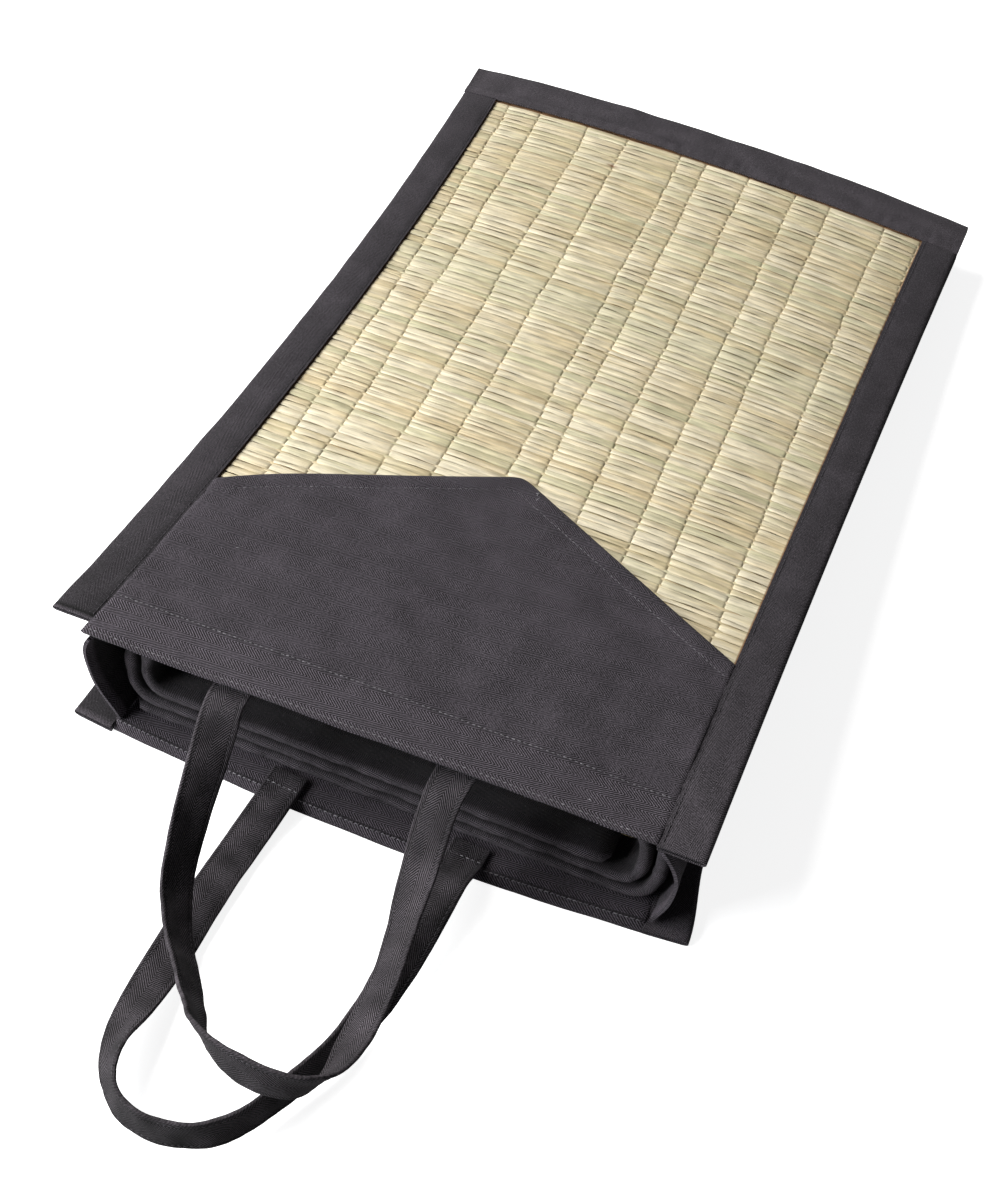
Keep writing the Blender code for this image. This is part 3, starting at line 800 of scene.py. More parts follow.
@dataclass(frozen=True)
class StrawWeave:
    """Woven grass: broad and slim strands by turns, held down by warp threads by turns.

    A stripe gives a distance from the mouth, a breadth, and how much more tan
    and green the strands are there.  The drift bends the warp threads: where
    they are straight, their slope and their curve.
    """

    bag: BagForm
    face: Face
    first_y: float = 0.114
    last_y: float = 0.6095
    pitch: float = 0.0058
    swing: float = 0.00050
    half_thick: float = 0.00064
    reach: float = 0.0085
    slim: float = 0.48
    drift: Triple = (0.338, -0.029, 0.046)
    warps_mm: tuple[float, ...] = (-188.0, -176.0, -160.0, -145.8, -133.7, -112.5, -93.3, -73.3,
                                   -60.0, -45.8, -15.0, -4.2, 6.3, 30.8, 40.8, 61.7, 79.2, 97.5,
                                   106.7, 130.8, 150.8, 164.2, 179.0, 189.0)
    stripes: tuple[Quad, ...] = (
        (0.420, 0.009, 0.0, 0.30), (0.232, 0.003, 0.1, 0.45), (0.211, 0.0025, -0.5, -0.2),
        (0.188, 0.0030, -0.5, -0.2), (0.246, 0.006, 0.45, -0.1), (0.330, 0.004, -0.3, 0.0))
    mark: Pair = (-0.065, 0.562)
    seed: int = 11

    def rows(self) -> tuple[Array, Array]:
        """Return each strand's distance from the mouth and its width.

        Repeats of a random depth follow one another.  A slim strand lies where
        two repeats meet and a broad one in the middle of each, so the even
        strands are slim and the odd ones broad.
        """
        rng = np.random.default_rng(self.seed)
        count = int((self.last_y - self.first_y) / self.pitch)
        depth = np.clip(rng.normal(1.0, 0.22, count), 0.55, 1.6)
        depth *= (self.last_y - self.first_y) / depth.sum()
        start = self.first_y + np.cumsum(depth) - depth
        centers = np.stack((start, start + depth / 2.0), -1).ravel()
        widths = stacked(self.slim * self.pitch, 1.02 * depth).ravel()
        return centers, widths

    def warp_lines(self, y: Array) -> Array:
        """Return where each warp thread crosses each strand.

        The threads lean a little to one side towards the mouth, along a
        parabola, and each wanders by itself by less than a millimetre.

        Args:
            y: Distance of each strand from the mouth.

        Returns:
            Places across the bag, by strand and warp thread.
        """
        base = np.array(self.warps_mm) / 1000.0
        off = y - self.drift[0]
        lean = self.drift[1] * off + self.drift[2] * off * off
        wander = ripple(y[:, None], np.arange(len(base))[None, :] * 0.37, 0.09, self.seed + 1)
        return base + lean[:, None] + 0.0006 * wander

    def strands(self, maker: MeshMaker) -> None:
        """Add all strands to a mesh.

        Between two warp threads a strand climbs from the one that holds it
        down to the one that it rides over, or falls back.  A broad strand
        climbs steeply to a blunt tip and stays high; a slim one stays low and
        shows only where its broad neighbours are held down.  Its section is a
        flattened hexagon, and four stations stand in each gap between warps,
        each at a share of the gap plus a fixed distance.

        Args:
            maker: The mesh that takes the strands.
        """
        rng = np.random.default_rng(self.seed + 2)
        centers, widths = self.rows()
        lines = self.warp_lines(centers)
        count, gaps = lines.shape[0], lines.shape[1] - 1
        lines = lines + rng.normal(0.0, 0.00030, lines.shape)
        start, span = lines[:, :-1, None], np.diff(lines, axis=1)[..., None]
        broad = (np.arange(count) % 2 == 1)[:, None, None]
        climbs = (np.arange(gaps)[None, :, None] % 2 == 0) == broad

        def chosen(*rows: tuple[float, ...]) -> Array:
            """Return the row for a broad climb or fall, or a slim climb or fall."""
            broad_climb, broad_fall, slim_climb, slim_fall = (np.array(row) for row in rows)
            return np.where(broad, np.where(climbs, broad_climb, broad_fall),
                            np.where(climbs, slim_climb, slim_fall))

        share = chosen((0.0, 0.0, 0.0, 0.5), (0.0, 0.5, 1.0, 1.0), (0.0, 0.3, 0.7, 1.0),
                       (0.0, 0.0, 0.5, 1.0))
        shift = chosen((0.0, 0.0005, 0.0016, 0.0), (0.0, 0.0, -0.0020, -0.0005),
                       (0.0, 0.0, 0.0, -0.0010), (0.0, 0.0015, 0.0, -0.0010))
        level = chosen((-0.62, 0.0, 0.65, 0.90), (1.0, 0.95, 0.72, 0.35),
                       (-1.0, -0.80, -0.40, 0.10), (0.35, 0.10, -0.35, -0.75))
        girth = chosen((0.76, 0.87, 0.93, 0.94), (0.95, 1.08, 1.05, 0.93),
                       (0.60, 0.62, 0.75, 0.95), (1.0, 0.98, 0.85, 0.70))
        # Painted highlight: the broad strands are paler on their climbs, whose slopes face the
        # light, most near their tips.
        pale = chosen((0.1, 0.7, 1.0, 0.9), (0.5, 0.05, 0.0, 0.0), (0.0, 0.0, 0.0, 0.0),
                      (0.0, 0.0, 0.0, 0.0))
        x = start + share * span + np.clip(shift, -0.24 * span, 0.24 * span)
        lift = rng.normal(0.0, 0.17, (count, gaps, 1))
        level = level + np.where(level > 0.0, lift, 0.3 * lift)
        girth = girth * (1.0 + rng.normal(0.0, 0.035, (count, gaps, 1)))
        rides = climbs[:, -1:, 0]
        x = np.concatenate((x.reshape(count, -1), lines[:, -1:]), 1)
        level = np.concatenate((level.reshape(count, -1), np.where(rides, 0.9, -0.62)), 1)
        girth = np.concatenate((girth.reshape(count, -1), np.where(rides, 1.0, 0.7)), 1)
        pale = np.concatenate((pale.reshape(count, -1), np.zeros((count, 1))), 1)
        self.add_strands(maker, x, level, girth, pale, centers, widths, rng)

    def add_strands(self, maker: MeshMaker, x: Array, level: Array, girth: Array,
                    pale: Array, centers: Array, widths: Array,
                    rng: np.random.Generator) -> None:
        """Carry the strand's section along every strand.

        Args:
            maker: The mesh that takes the strands.
            x: Place of each station, by strand.
            level: Height there, -1 in a dive and 1 on a crest.
            girth: Width there as a share of the strand's own.
            pale: How much painted highlight lies there.
            centers: Distance of each strand from the mouth.
            widths: Width of each strand.
            rng: Source of the differences between strands.
        """
        count = len(centers)
        aside = 0.0004 * ripple(x, centers[:, None], 0.16, self.seed + 3)
        aside += 0.00012 * ripple(x, centers[:, None] * 40.0, 0.05, self.seed + 4)
        twist = -0.05 + 0.055 * ripple(x, centers[:, None] * 40.0, 0.05, self.seed + 5)
        turn = np.array((-1.0, -0.62, 0.0, 0.62, 1.0, 0.0))
        thick = np.array((0.22, 0.78, 1.0, 0.78, 0.22, -0.85))
        half = (widths[:, None] / 2.0 * girth)[..., None]
        plump = np.where(np.arange(count) % 2 == 1, 1.0, 0.72)[:, None, None]
        body = self.half_thick * plump * (0.70 + 0.30 * np.clip(girth, 0.0, 1.0))[..., None]
        swell = rng.normal(1.0, 0.08, (count, 1, 1))
        across = turn * half
        rise = self.swing * level[..., None] + thick * body * swell + across * twist[..., None]
        y = centers[:, None, None] + aside[..., None] + across
        depth = self.bag.depth / 2.0 - np.clip(rise, -0.0019, 0.00185)
        xs = np.broadcast_to(x[..., None], y.shape)
        rings = self.bag.place(self.face, xs, y, depth)
        tone = self.tones(xs, y, level[..., None], pale[..., None], rng)
        maker.add_tubes(rings, np.stack((xs, y), -1), tone)

    def tones(self, x: Array, y: Array, level: Array, pale: Array,
              rng: np.random.Generator) -> Array:
        """Return each point's tan, green and brown shares.

        Each strand has its own tan and green share, which drift slowly along
        it; the slim ones are more tan.  A few strands are olive or pale, the
        dives get painted shade, stronger on the slim strands, the broad
        strands' climbs get a painted highlight that makes them less tan, and
        one strand has a small brown mark.

        Args:
            x: Place across the bag.
            y: Distance from the mouth.
            level: Height of each station, -1 in a dive.
            pale: How much painted highlight lies there.
            rng: Source of the strands' own shares.

        Returns:
            The three shares.
        """
        count = len(x)
        slim = np.where(np.arange(count) % 2 == 0, 1.0, 0.0)[:, None, None]
        tan = rng.beta(2.4, 2.8, (count, 1, 1)) + 0.35 * slim + 0.16 - 0.50 * pale
        green = np.clip(rng.normal(0.12, 0.22, (count, 1, 1)), 0.0, 0.95)
        slow = ripple(x, y * 30.0, 0.12, self.seed + 6)
        middle = y.mean(-1, keepdims=True).mean(1, keepdims=True)
        for at, breadth, more_tan, more_green in self.stripes:
            near = bell(middle - at, breadth)
            tan, green = tan + more_tan * near, green + more_green * near
        mark = bell(x - self.mark[0], 0.0030) * bell(y - self.mark[1], 0.0016)
        # Painted shade in the dives, stronger on the slim strands.
        stains_and_painted_shade = (0.16 + 0.42 * slim) * eased((-0.15 - level) / 0.45)
        brown = np.maximum(mark, stains_and_painted_shade)
        tan, green = tan + 0.16 * slow, green + 0.09 * slow
        return stacked(tan.clip(0, 1), green.clip(0, 1), brown)

    def backing(self, maker: MeshMaker) -> None:
        """Add the lower blades as one thin sheet that closes the gaps.

        Under the yoke, where cloth covers it, the sheet lies at mid depth; under
        the strands it lies below them.  Its front corners are cut away, where
        the tapes are sewn flat.

        Args:
            maker: The mesh that takes the sheet.
        """
        edge = self.bag.grass_edge() + self.reach
        x, t = np.meshgrid(np.linspace(-edge, edge, 36), np.linspace(0.0, 1.0, 96))
        front = 0.011 + 0.022 * eased((np.abs(x) - 0.170) / 0.006)
        y = front + t * (self.last_y - front)
        under = eased((y - self.first_y) / 0.006)
        middle = self.bag.place(self.face, x, y, self.bag.depth / 2.0 + 0.0009 * under)
        tone = np.zeros(x.shape + (3,))
        tone[..., 0] = 0.6
        maker.add_shell(middle, 0.0005 + 0.0012 * (1.0 - under), np.stack((x, y), -1), tone)

    def warp_threads(self, maker: MeshMaker) -> None:
        """Add the warp threads: over each strand that dives, under each that rides.

        Args:
            maker: The mesh that takes the threads.
        """
        centers, _ = self.rows()
        lines = self.warp_lines(centers)[:, 1:-1]
        holds_broad = (np.arange(lines.shape[1])[None, :] + 1) % 2 == 0
        broad = (np.arange(len(centers)) % 2 == 1)[:, None]
        level = np.where(holds_broad, np.where(broad, 0.00024, -0.00040),
                         np.where(broad, -0.00075, -0.00030))
        turn = np.arange(4) / 4.0 * TAU
        x = lines.T[..., None] + 0.00042 * np.cos(turn)
        y = np.broadcast_to(centers[None, :, None], x.shape)
        rise = level.T[..., None] + 0.00030 * np.sin(turn)
        rings = self.bag.place(self.face, x, y, self.bag.depth / 2.0 - rise)
        maker.add_tubes(rings, np.stack((y, x), -1), np.full(rings.shape, 0.25))

    def build(self) -> None:
        name = self.face.value
        threads = MeshMaker(name + "_warp_threads")
        self.warp_threads(threads)
        warp = threads.make(WARP)
        straw = MeshMaker(name + "_straw")
        self.strands(straw)
        lower = MeshMaker(name + "_straw_backing")
        self.backing(lower)
        backing = lower.make(STRAW)
        piece = straw.make(STRAW, (name + "_grass",), sharp_deg=80.0)
        edge = self.bag.grass_edge() + self.reach


# ----------------------------------------------------------------- bag clothwork


@dataclass(frozen=True)
class ClothYoke:
    """The pointed cloth facing at the mouth, with its folded edges and its hem.

    A fibre of lint gives its place across, its distance from the mouth, and
    how far it runs across and back.
    """

    bag: BagForm
    face: Face
    point: float = 0.2243
    side: float = 0.140
    fold_edge: float = 0.0115
    hem_seam: float = 0.0330
    mouth_seam: float = 0.0035
    brow: float = 0.0004
    turn_run: float = 0.0058
    turn_travel: float = 0.0078
    columns: int = 150
    rows: int = 92
    creases: tuple[Crease, ...] = ()
    lint: tuple[Quad, ...] = ()

    def reach(self, x: Array) -> Array:
        """Return how far back the yoke reaches: two straight edges from its point.

        The left edge bellies out a little near its end.
        """
        edge = self.bag.grass_edge()
        share = np.clip(np.abs(x) / edge, 0.0, 1.0)
        belly = 0.0034 * np.sin(math.pi * share ** 2.6) * (x < 0.0)
        rounded = 0.0012 * bell(x, 0.004)
        return self.point + (self.side - self.point) * share + belly - rounded

    def build(self) -> None:
        """Build the yoke.

        The cloth runs from its pointed edges to the mouth, turns round the
        panel's edge in a half circle and ends under it at the hem's seam.
        """
        edge = self.bag.grass_edge() - self.bag.clear
        radius = (self.bag.depth - self.bag.cloth) / 2.0
        lap = np.array((0.0004, 0.0009, 0.0014, 0.0026))
        x = np.concatenate((-edge - lap[::-1], np.linspace(-edge, edge, self.columns),
                            edge + lap))[None, :]
        under_tape = eased((np.abs(x) - edge) / 0.0012)
        outer = np.linspace(0.0, 1.0, self.rows)[:, None]
        reach = self.reach(x)
        y_outer = reach + (self.brow - reach) * outer
        turn = np.linspace(0.0, 1.0, 9)[1:-1, None]
        y_fold = self.brow + self.turn_run * turn ** 1.2 + 0.0 * x
        under = np.linspace(0.0, 1.0, 14)[:, None]
        turned = self.brow + self.turn_run
        y_under = turned + (self.bag.hem - turned) * under + 0.0 * x
        y = np.concatenate((y_outer, y_fold, y_under)) + 0.0012 * under_tape
        depth = np.concatenate((
            self.bag.cloth / 2.0 + 0.0 * y_outer,
            self.bag.depth / 2.0 - radius * np.cos(math.pi * turn) + 0.0 * x,
            self.bag.depth - self.bag.cloth / 2.0 + 0.0 * y_under))
        middle = self.bag.depth / 2.0
        depth = middle + (depth - middle) * (1.0 - 0.46 * under_tape)
        across = np.broadcast_to(x, y.shape)
        is_outer = np.zeros(y.shape)
        is_outer[:self.rows] = 1.0
        relief = self.bag.kept(self.face, self.relief(across, y, reach))
        depth = depth - is_outer * (1.0 - under_tape) * relief
        points = self.bag.place(self.face, across, y, depth)
        travel = np.concatenate((y_outer, -self.turn_travel * turn + 0.0 * x,
                                 -self.turn_travel - y_under))
        cloth = np.stack((across, travel), -1)
        name = self.face.value + "_yoke_cloth"
        maker = MeshMaker(name)
        thickness = self.bag.cloth * (1.0 - 0.4 * under_tape) + 0.0 * y
        maker.add_shell(points, thickness, cloth, self.rubbing_and_painted_light(across, y, reach))
        piece = maker.make(TWILL, (self.face.value + "_yoke",))
        seams = self.seams()

    def relief(self, x: Array, y: Array, reach: Array) -> Array:
        """Return how far the cloth stands above its plain surface.

        The folded edges are a band that stands proud and rolls down at its
        rim, each seam is a dent with small puckers, and the rest waves softly.

        Args:
            x: Place across the bag.
            y: Distance from the mouth.
            reach: How far back the yoke reaches there.

        Returns:
            The relief in metres.
        """
        slope = math.cos(math.atan2(self.point - self.side, self.bag.grass_edge()))
        inward = (reach - y) * slope
        band = 0.00035 * eased((self.fold_edge + 0.001 - inward) / 0.002)
        rim = -0.0009 * bell(inward, 0.0009)
        seam = bell(inward - self.fold_edge, 0.0009) + bell(y - self.hem_seam, 0.0010)
        seam += bell(y - self.mouth_seam, 0.0009)
        pucker = ripple(x, y * 0.2, 0.011, 21, spread=0.3)
        near = bell(inward - self.fold_edge, 0.004) + bell(y - self.hem_seam, 0.006)
        soft = 0.00035 * ripple(x, y, 0.085, 22) + 0.00012 * ripple(x, y, 0.03, 23)
        fade = eased(inward / 0.01)
        return (band + rim - 0.00035 * seam + 0.00012 * near * pucker + soft * fade
                + creased(x, y, self.creases))

    def rubbing_and_painted_light(self, x: Array, y: Array, reach: Array) -> Array:
        """Return the light, plain and dark shares: rubbed edges, painted shade at the hem seam, and
        a lighter hem band, painted lighter still towards the left.
        """
        light = 0.22 * bell(reach - y, 0.0012) + 0.12 * bell(y, 0.002)
        # The hem band is lighter, with painted light growing towards the left.
        light = light + (0.24 - 0.4 * x) * eased((self.hem_seam - y) / 0.002)
        # Painted shade along the hem seam.
        dark = 0.5 * bell(y - self.hem_seam + 0.0006, 0.0009)
        plain = -0.35 + 0.55 * eased((y - self.hem_seam) / 0.002)
        return stacked(light, plain, dark)

    def seams(self) -> bpy.types.Object:
        """Build the yoke's stitching and return it."""
        name = self.face.value
        maker = MeshMaker(name + "_yoke_stitches")
        edge = self.bag.grass_edge() - 0.002
        x = np.linspace(-edge, edge, 240)
        up = self.bag.out(self.face)
        reach = self.reach(x)
        slope = math.cos(math.atan2(self.point - self.side, edge))
        along_edge = reach - self.fold_edge / slope
        for number, (y, seam) in enumerate(((along_edge, Seam(light=0.22)),
                                            (self.hem_seam, Seam(light=0.42)),
                                            (self.mouth_seam, Seam(light=0.42)))):
            depth = -self.bag.kept(self.face, self.relief(x, y, reach)) - 0.00008
            seam.sew(maker, self.bag.place(self.face, x, y, depth), up, 40 + number)
        inner = self.bag.place(self.face, x, 0.0042, self.bag.depth + 0.00006)
        Seam(light=0.60).sew(maker, inner, -up, 44)
        for number, (across, y, run, rise) in enumerate(self.lint):
            spot = np.array((across, across + run)), np.array((y, y + rise))
            depth = -self.relief(*spot, self.reach(spot[0])) - 0.00015
            lint = self.bag.place(self.face, *spot, depth)
            Seam(pitch=1.0, stitch=0.9 * math.hypot(run, rise), thread=0.00020, light=1.2).sew(
                maker, lint, up, 46 + number)
        return maker.make(THREAD)


@dataclass(frozen=True)
class Tape:
    """A cotton tape folded over an edge of a panel and sewn through."""

    bag: BagForm
    face: Face
    fold_steps: int = 9
    flat_steps: int = 12
    fold_extra: float = 0.0019
    turn_in: float = 0.003
    stitch_depth: float = 0.00032

    def profile(self, reach: float) -> tuple[Array, Array, Array]:
        """Return the tape's section.

        Flat on the outer face from its sewn edge, half a circle round the
        panel's edge, and flat again on the inner face.

        Args:
            reach: How far in from the panel's edge the tape reaches.

        Returns:
            Distance in from the edge, depth, and distance along the tape.
        """
        radius = (self.bag.depth - self.bag.cloth) / 2.0
        flat = np.linspace(reach, radius, self.flat_steps)
        turn = np.linspace(0.0, math.pi, self.fold_steps + 1)[1:-1]
        distance = np.concatenate((flat, radius * (1 - np.sin(turn)), flat[::-1]))
        depth = np.concatenate((0.0 * flat + self.bag.cloth / 2.0,
                                self.bag.depth / 2.0 - radius * np.cos(turn),
                                0.0 * flat + self.bag.depth - self.bag.cloth / 2.0))
        along = np.concatenate((reach - flat, reach - radius + radius * turn,
                                reach - radius + radius * math.pi + (flat[::-1] - radius)))
        return distance, depth, along

    def relief(self, along: Array, length: Array, reach: float, seam: float,
               seed: int) -> Array:
        """Return how far the tape stands above its plain section.

        It is full between its fold and its seam, dented along the seam, and
        puckered beside it.

        Args:
            along: Distance from the sewn edge, across the tape.
            length: Distance along the tape.
            reach: How far the tape reaches in.
            seam: Distance of the seam from the sewn edge.
            seed: Seed of the puckers.

        Returns:
            The relief in metres.
        """
        inner = 2.0 * reach + self.bag.depth * 0.3 - along
        near = np.minimum(along, inner)
        full = 0.00040 * np.sin(math.pi * np.clip((near - seam) / (reach - seam), 0.0, 1.0))
        dent = -0.00042 * bell(near - seam, 0.0009) - 0.0004 * bell(near, 0.0007)
        pucker = 0.00016 * ripple(length, near * 0.3, 0.010, seed, spread=0.4)
        soft = 0.00022 * ripple(length, near, 0.045, seed + 1)
        return full + dent + pucker * bell(near - seam, 0.006) + soft * eased(near / 0.006)

    def sewn_row(self, name: str, x: Array | float, y: Array | float,
                 seed: int) -> bpy.types.Object:
        """Build the row of stitches that holds the tape and return it.

        Args:
            name: Name of the tape.
            x: Place of the row across the bag.
            y: Its distance from the mouth.
            seed: Seed of the differences between stitches.

        Returns:
            The piece with the stitches.
        """
        stitches = MeshMaker(name + "_stitches")
        Seam(light=0.02).sew(stitches, self.bag.place(self.face, x, y, self.stitch_depth),
                             self.bag.out(self.face), seed)
        return stitches.make(THREAD)

    def declare(self, piece: bpy.types.Object, thread: bpy.types.Object, flat: Pair) -> None:
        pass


@dataclass(frozen=True)
class SideTape(Tape):
    """The tape along one side of a panel."""

    side: Side = Side.LEFT
    setback: float = 0.0
    pinch: float = 0.0
    pinch_run: float = 0.024
    seam: float = 0.0024
    steps: int = 230

    def build(self) -> None:
        """Build the tape, its stitches and its sewn or pinched front end."""
        bag, name = self.bag, f"{self.face.value}_tape_{self.side.name.lower()}"
        distance, depth, along = (part[None, :] for part in self.profile(bag.side_tape))
        last = bag.length - bag.back_tape - bag.clear
        y = np.linspace(self.setback, last, self.steps)[:, None]
        pinch = self.pinch * (1.0 - eased((y - self.setback) / self.pinch_run))
        middle = bag.depth / 2.0
        held = middle + (depth - middle) * (1.0 - pinch) - 0.5 * middle * pinch
        facing = np.where(depth < middle, 1.0, -1.0)
        relief = self.relief(along, y, bag.side_tape, self.seam, 60 + self.side.value)
        end = eased((y - self.setback) / 0.004) * eased((last - y) / 0.004)
        x = self.side.value * (bag.width / 2.0 - distance)
        relief = np.where(facing > 0.0, bag.kept(self.face, relief), relief)
        points = bag.place(self.face, x, y, held - facing * relief * end)
        cloth = stacked(y, along)
        maker = MeshMaker(name)
        maker.add_shell(points, bag.cloth, cloth, self.rubbing_and_painted_light(along, y))
        piece = maker.make(TAPE, (f"{self.face.value}_binding_{self.side.name.lower()}",))
        thread = self.sewn_row(name, self.side.value * (bag.grass_edge() + self.seam),
                               np.linspace(self.setback + 0.003, last, 400),
                               70 + self.side.value)
        self.declare(piece, thread, (2.0 * bag.side_tape + self.turn_in, last - self.setback))

    def rubbing_and_painted_light(self, along: Array, y: Array) -> Array:
        """Return the light, plain and dark shares.

        The fold is rubbed and the seam gets painted shade.  Near the mouth the
        left tape gets painted shade, with a painted lit rim and a painted dark
        slit at its end, and the right one is painted lighter.

        Args:
            along: Distance from the sewn edge, across the tape.
            y: Distance from the mouth.

        Returns:
            The three shares at each point.
        """
        near = np.minimum(along, 2.0 * self.bag.side_tape + self.fold_extra - along)
        light = 0.10 * bell(near - self.bag.side_tape, 0.004) + 0.0 * y
        # Painted shade along the seam.
        dark = 0.55 * bell(near - self.seam, 0.0007) + 0.0 * y
        # Painted shade near the mouth on the left tape, with a painted lit rim and dark slit at its
        # end; painted light near the mouth on the right tape.
        mouth = eased((0.16 - y) / 0.16)
        if self.side is Side.LEFT:
            dark = dark + (0.55 if self.face is Face.TOP else 0.85) * mouth
            dark = dark + 0.9 * bell(y - self.setback - 0.0026, 0.0008)
            light = light + 1.6 * bell(y - self.setback, 0.0011)
        else:
            light = light + 0.45 * mouth
        return np.stack((light, 0.0 * light, dark), -1)


@dataclass(frozen=True)
class BackTape(Tape):
    """The wide tape along the closed back, which laps over both side tapes."""

    seam: float = 0.0052
    fold_reach: float = 0.0100
    fold_end: float = -0.0230
    steps: int = 180

    def build(self) -> None:
        """Build the tape, doubled over in its left part, and its stitches."""
        bag, name = self.bag, f"{self.face.value}_tape_back"
        distance, depth, along = (part[:, None] for part in self.profile(bag.back_tape))
        x = np.linspace(-bag.width / 2.0, bag.width / 2.0, self.steps)[None, :]
        facing = np.where(depth < bag.depth / 2.0, 1.0, -1.0)
        relief = self.relief(along, x, bag.back_tape, self.seam, 80)
        near = np.minimum(along, 2.0 * bag.back_tape + self.fold_extra - along)
        fold = 0.00035 * bell(near - 0.009, 0.0030) * (1.0 + 0.8 * ripple(x, near, 0.05, 82))
        doubled = eased((self.fold_end - x) / 0.003)
        fold = fold + 0.00055 * doubled * eased((self.fold_reach - near) / 0.0012)
        fold = fold + 0.00060 * bell(x + 0.059, 0.028) * bell(near - 0.0055, 0.0035)
        relief = np.where(facing > 0.0, bag.kept(self.face, relief + fold), relief + fold)
        points = bag.place(self.face, x, bag.length - distance, depth - facing * relief)
        cloth = stacked(x, along)
        maker = MeshMaker(name)
        # Painted shade along the seam and under the edge of the doubled fold.
        dark = 0.55 * bell(near - self.seam, 0.0009) + 0.0 * x
        dark = dark + 0.75 * doubled * bell(near - self.fold_reach - 0.0005, 0.0008)
        # Painted light over the whole tape, growing towards the right, and a painted highlight
        # along the doubled fold's edge.
        light = 0.40 + 0.9 * x.clip(0.0)
        light = light + 0.35 * doubled * bell(near - self.fold_reach + 0.002, 0.0016)
        maker.add_shell(points, bag.cloth, cloth, np.stack((light, 0.0 * dark, dark), -1))
        piece = maker.make(TAPE, (f"{self.face.value}_binding_back",))
        end = bag.width / 2.0 - 0.002
        thread = self.sewn_row(name, np.linspace(-end, end, 300),
                               bag.length - bag.back_tape + self.seam, 85)
        self.declare(piece, thread, (bag.width, 2.0 * bag.back_tape + self.turn_in))


@dataclass(frozen=True)
class Gusset:
    """The three cloth walls between the two faces, bulging outwards.

    The seams are given from the bag's left and right edges, and the bulges
    for the left, right and back wall.
    """

    bag: BagForm
    cloth: float = 0.0015
    seam: Pair = (0.0300, 0.0240)
    bulge: Triple = (0.010, 0.011, 0.006)
    seam_inset: float = 0.004
    seam_clear: float = 0.0008
    corner_power: int = 6
    bulge_power: float = 1.3
    front: Pair = (0.005, 0.0005)
    hem: float = 0.0075
    shade_y: float = 0.09
    columns: int = 90
    rows: int = 36

    def lean(self, share: Array, bulge: float) -> Array:
        """Return the outward offset: none at the seams, fullest above half height."""
        return bulge * np.sin(math.pi * share ** self.bulge_power)

    def wall(self, x: Array, y: Array, share: Array) -> Array:
        """Return the straight wall between the two seams, share 0 low and 1 high."""
        margin = self.bag.depth + self.seam_clear
        top = self.bag.place(Face.TOP, x, y, margin)
        low = self.bag.place(Face.BOTTOM, x, y, margin)
        return low + (top - low) * share[..., None]

    def build(self) -> None:
        """Build the side walls, with their hemmed front edges, and the back wall."""
        bag = self.bag
        seam_back = bag.length - bag.back_tape + self.seam_inset
        gap = self.cloth / 2.0 + bag.clear
        left = -(bag.width / 2.0 - self.seam[0])
        right = bag.width / 2.0 - self.seam[1]
        for side, x, bulge in ((Side.LEFT, left, self.bulge[0]),
                               (Side.RIGHT, right, self.bulge[1])):
            share = np.linspace(0.0, 1.0, self.rows)[:, None]
            t = np.linspace(0.0, 1.0, self.columns)[None, :] ** 1.25
            front = self.front[0] + (self.front[1] - self.front[0]) * share
            y = front + t * (seam_back - gap - front)
            share = np.broadcast_to(share, y.shape)
            points = self.wall(x, y, share)
            soft = 0.0007 * ripple(y, share * 0.08, 0.06, 90 + side.value)
            free = 1 - t ** self.corner_power
            held = np.sin(math.pi * share) ** 0.5 * free
            points[..., 0] += side.value * (self.lean(share, bulge) * free + soft * held)
            self.finish_wall(f"gusset_wall_{side.name.lower()}", points, y, share,
                             (f"gusset_{side.name.lower()}",))
        side_gap = 2.0 * gap
        x = np.linspace(left + side_gap, right - side_gap, 130)[None, :]
        share = np.linspace(0.0, 1.0, 24)[:, None]
        x, share = np.broadcast_arrays(x, share)
        points = self.wall(x, seam_back, share)
        s = (x - left - side_gap) / (right - left - 2.0 * side_gap)
        soft = 0.0006 * ripple(x, share * 0.05, 0.05, 95) * np.sin(math.pi * share)
        points[..., 1] += (self.lean(share, self.bulge[2]) + soft) * (
            1 - (2 * s - 1) ** self.corner_power)
        self.finish_wall("gusset_wall_back", points, x, share, ("gusset_back",))

    def finish_wall(self, name: str, points: Array, run: Array, share: Array,
                    stands_for: tuple[str, ...]) -> None:
        """Args:
            name: Name of the piece.
            points: Grid of points, rows going up.
            run: Distance along the wall.
            share: Height share of each point.
            stands_for: The CAD node that it replaces.
        """
        tall = float(arc_lengths(points[:, 0])[-1])
        cloth = np.stack((run, share * tall), -1)
        maker = MeshMaker(name)
        hem = np.zeros(run.shape)
        if name != "gusset_wall_back":
            hem = eased((self.hem - (run - run[:, :1])) / 0.0006)
        # Painted shade on the front of the left wall, fading out about 90 mm back; the hem is kept
        # lighter.
        shaded = 1.0 if name == "gusset_wall_left" else 0.0
        dark = shaded * (1.0 - hem) * eased((self.shade_y - run) / 0.04)
        tone = np.stack((0.9 * hem, 0.0 * hem, dark), -1)
        maker.add_shell(points, self.cloth * (1.0 + 0.45 * hem), cloth, tone)
        piece = maker.make(TWILL, stands_for)


# ------------------------------------------------------------------ the wound mat


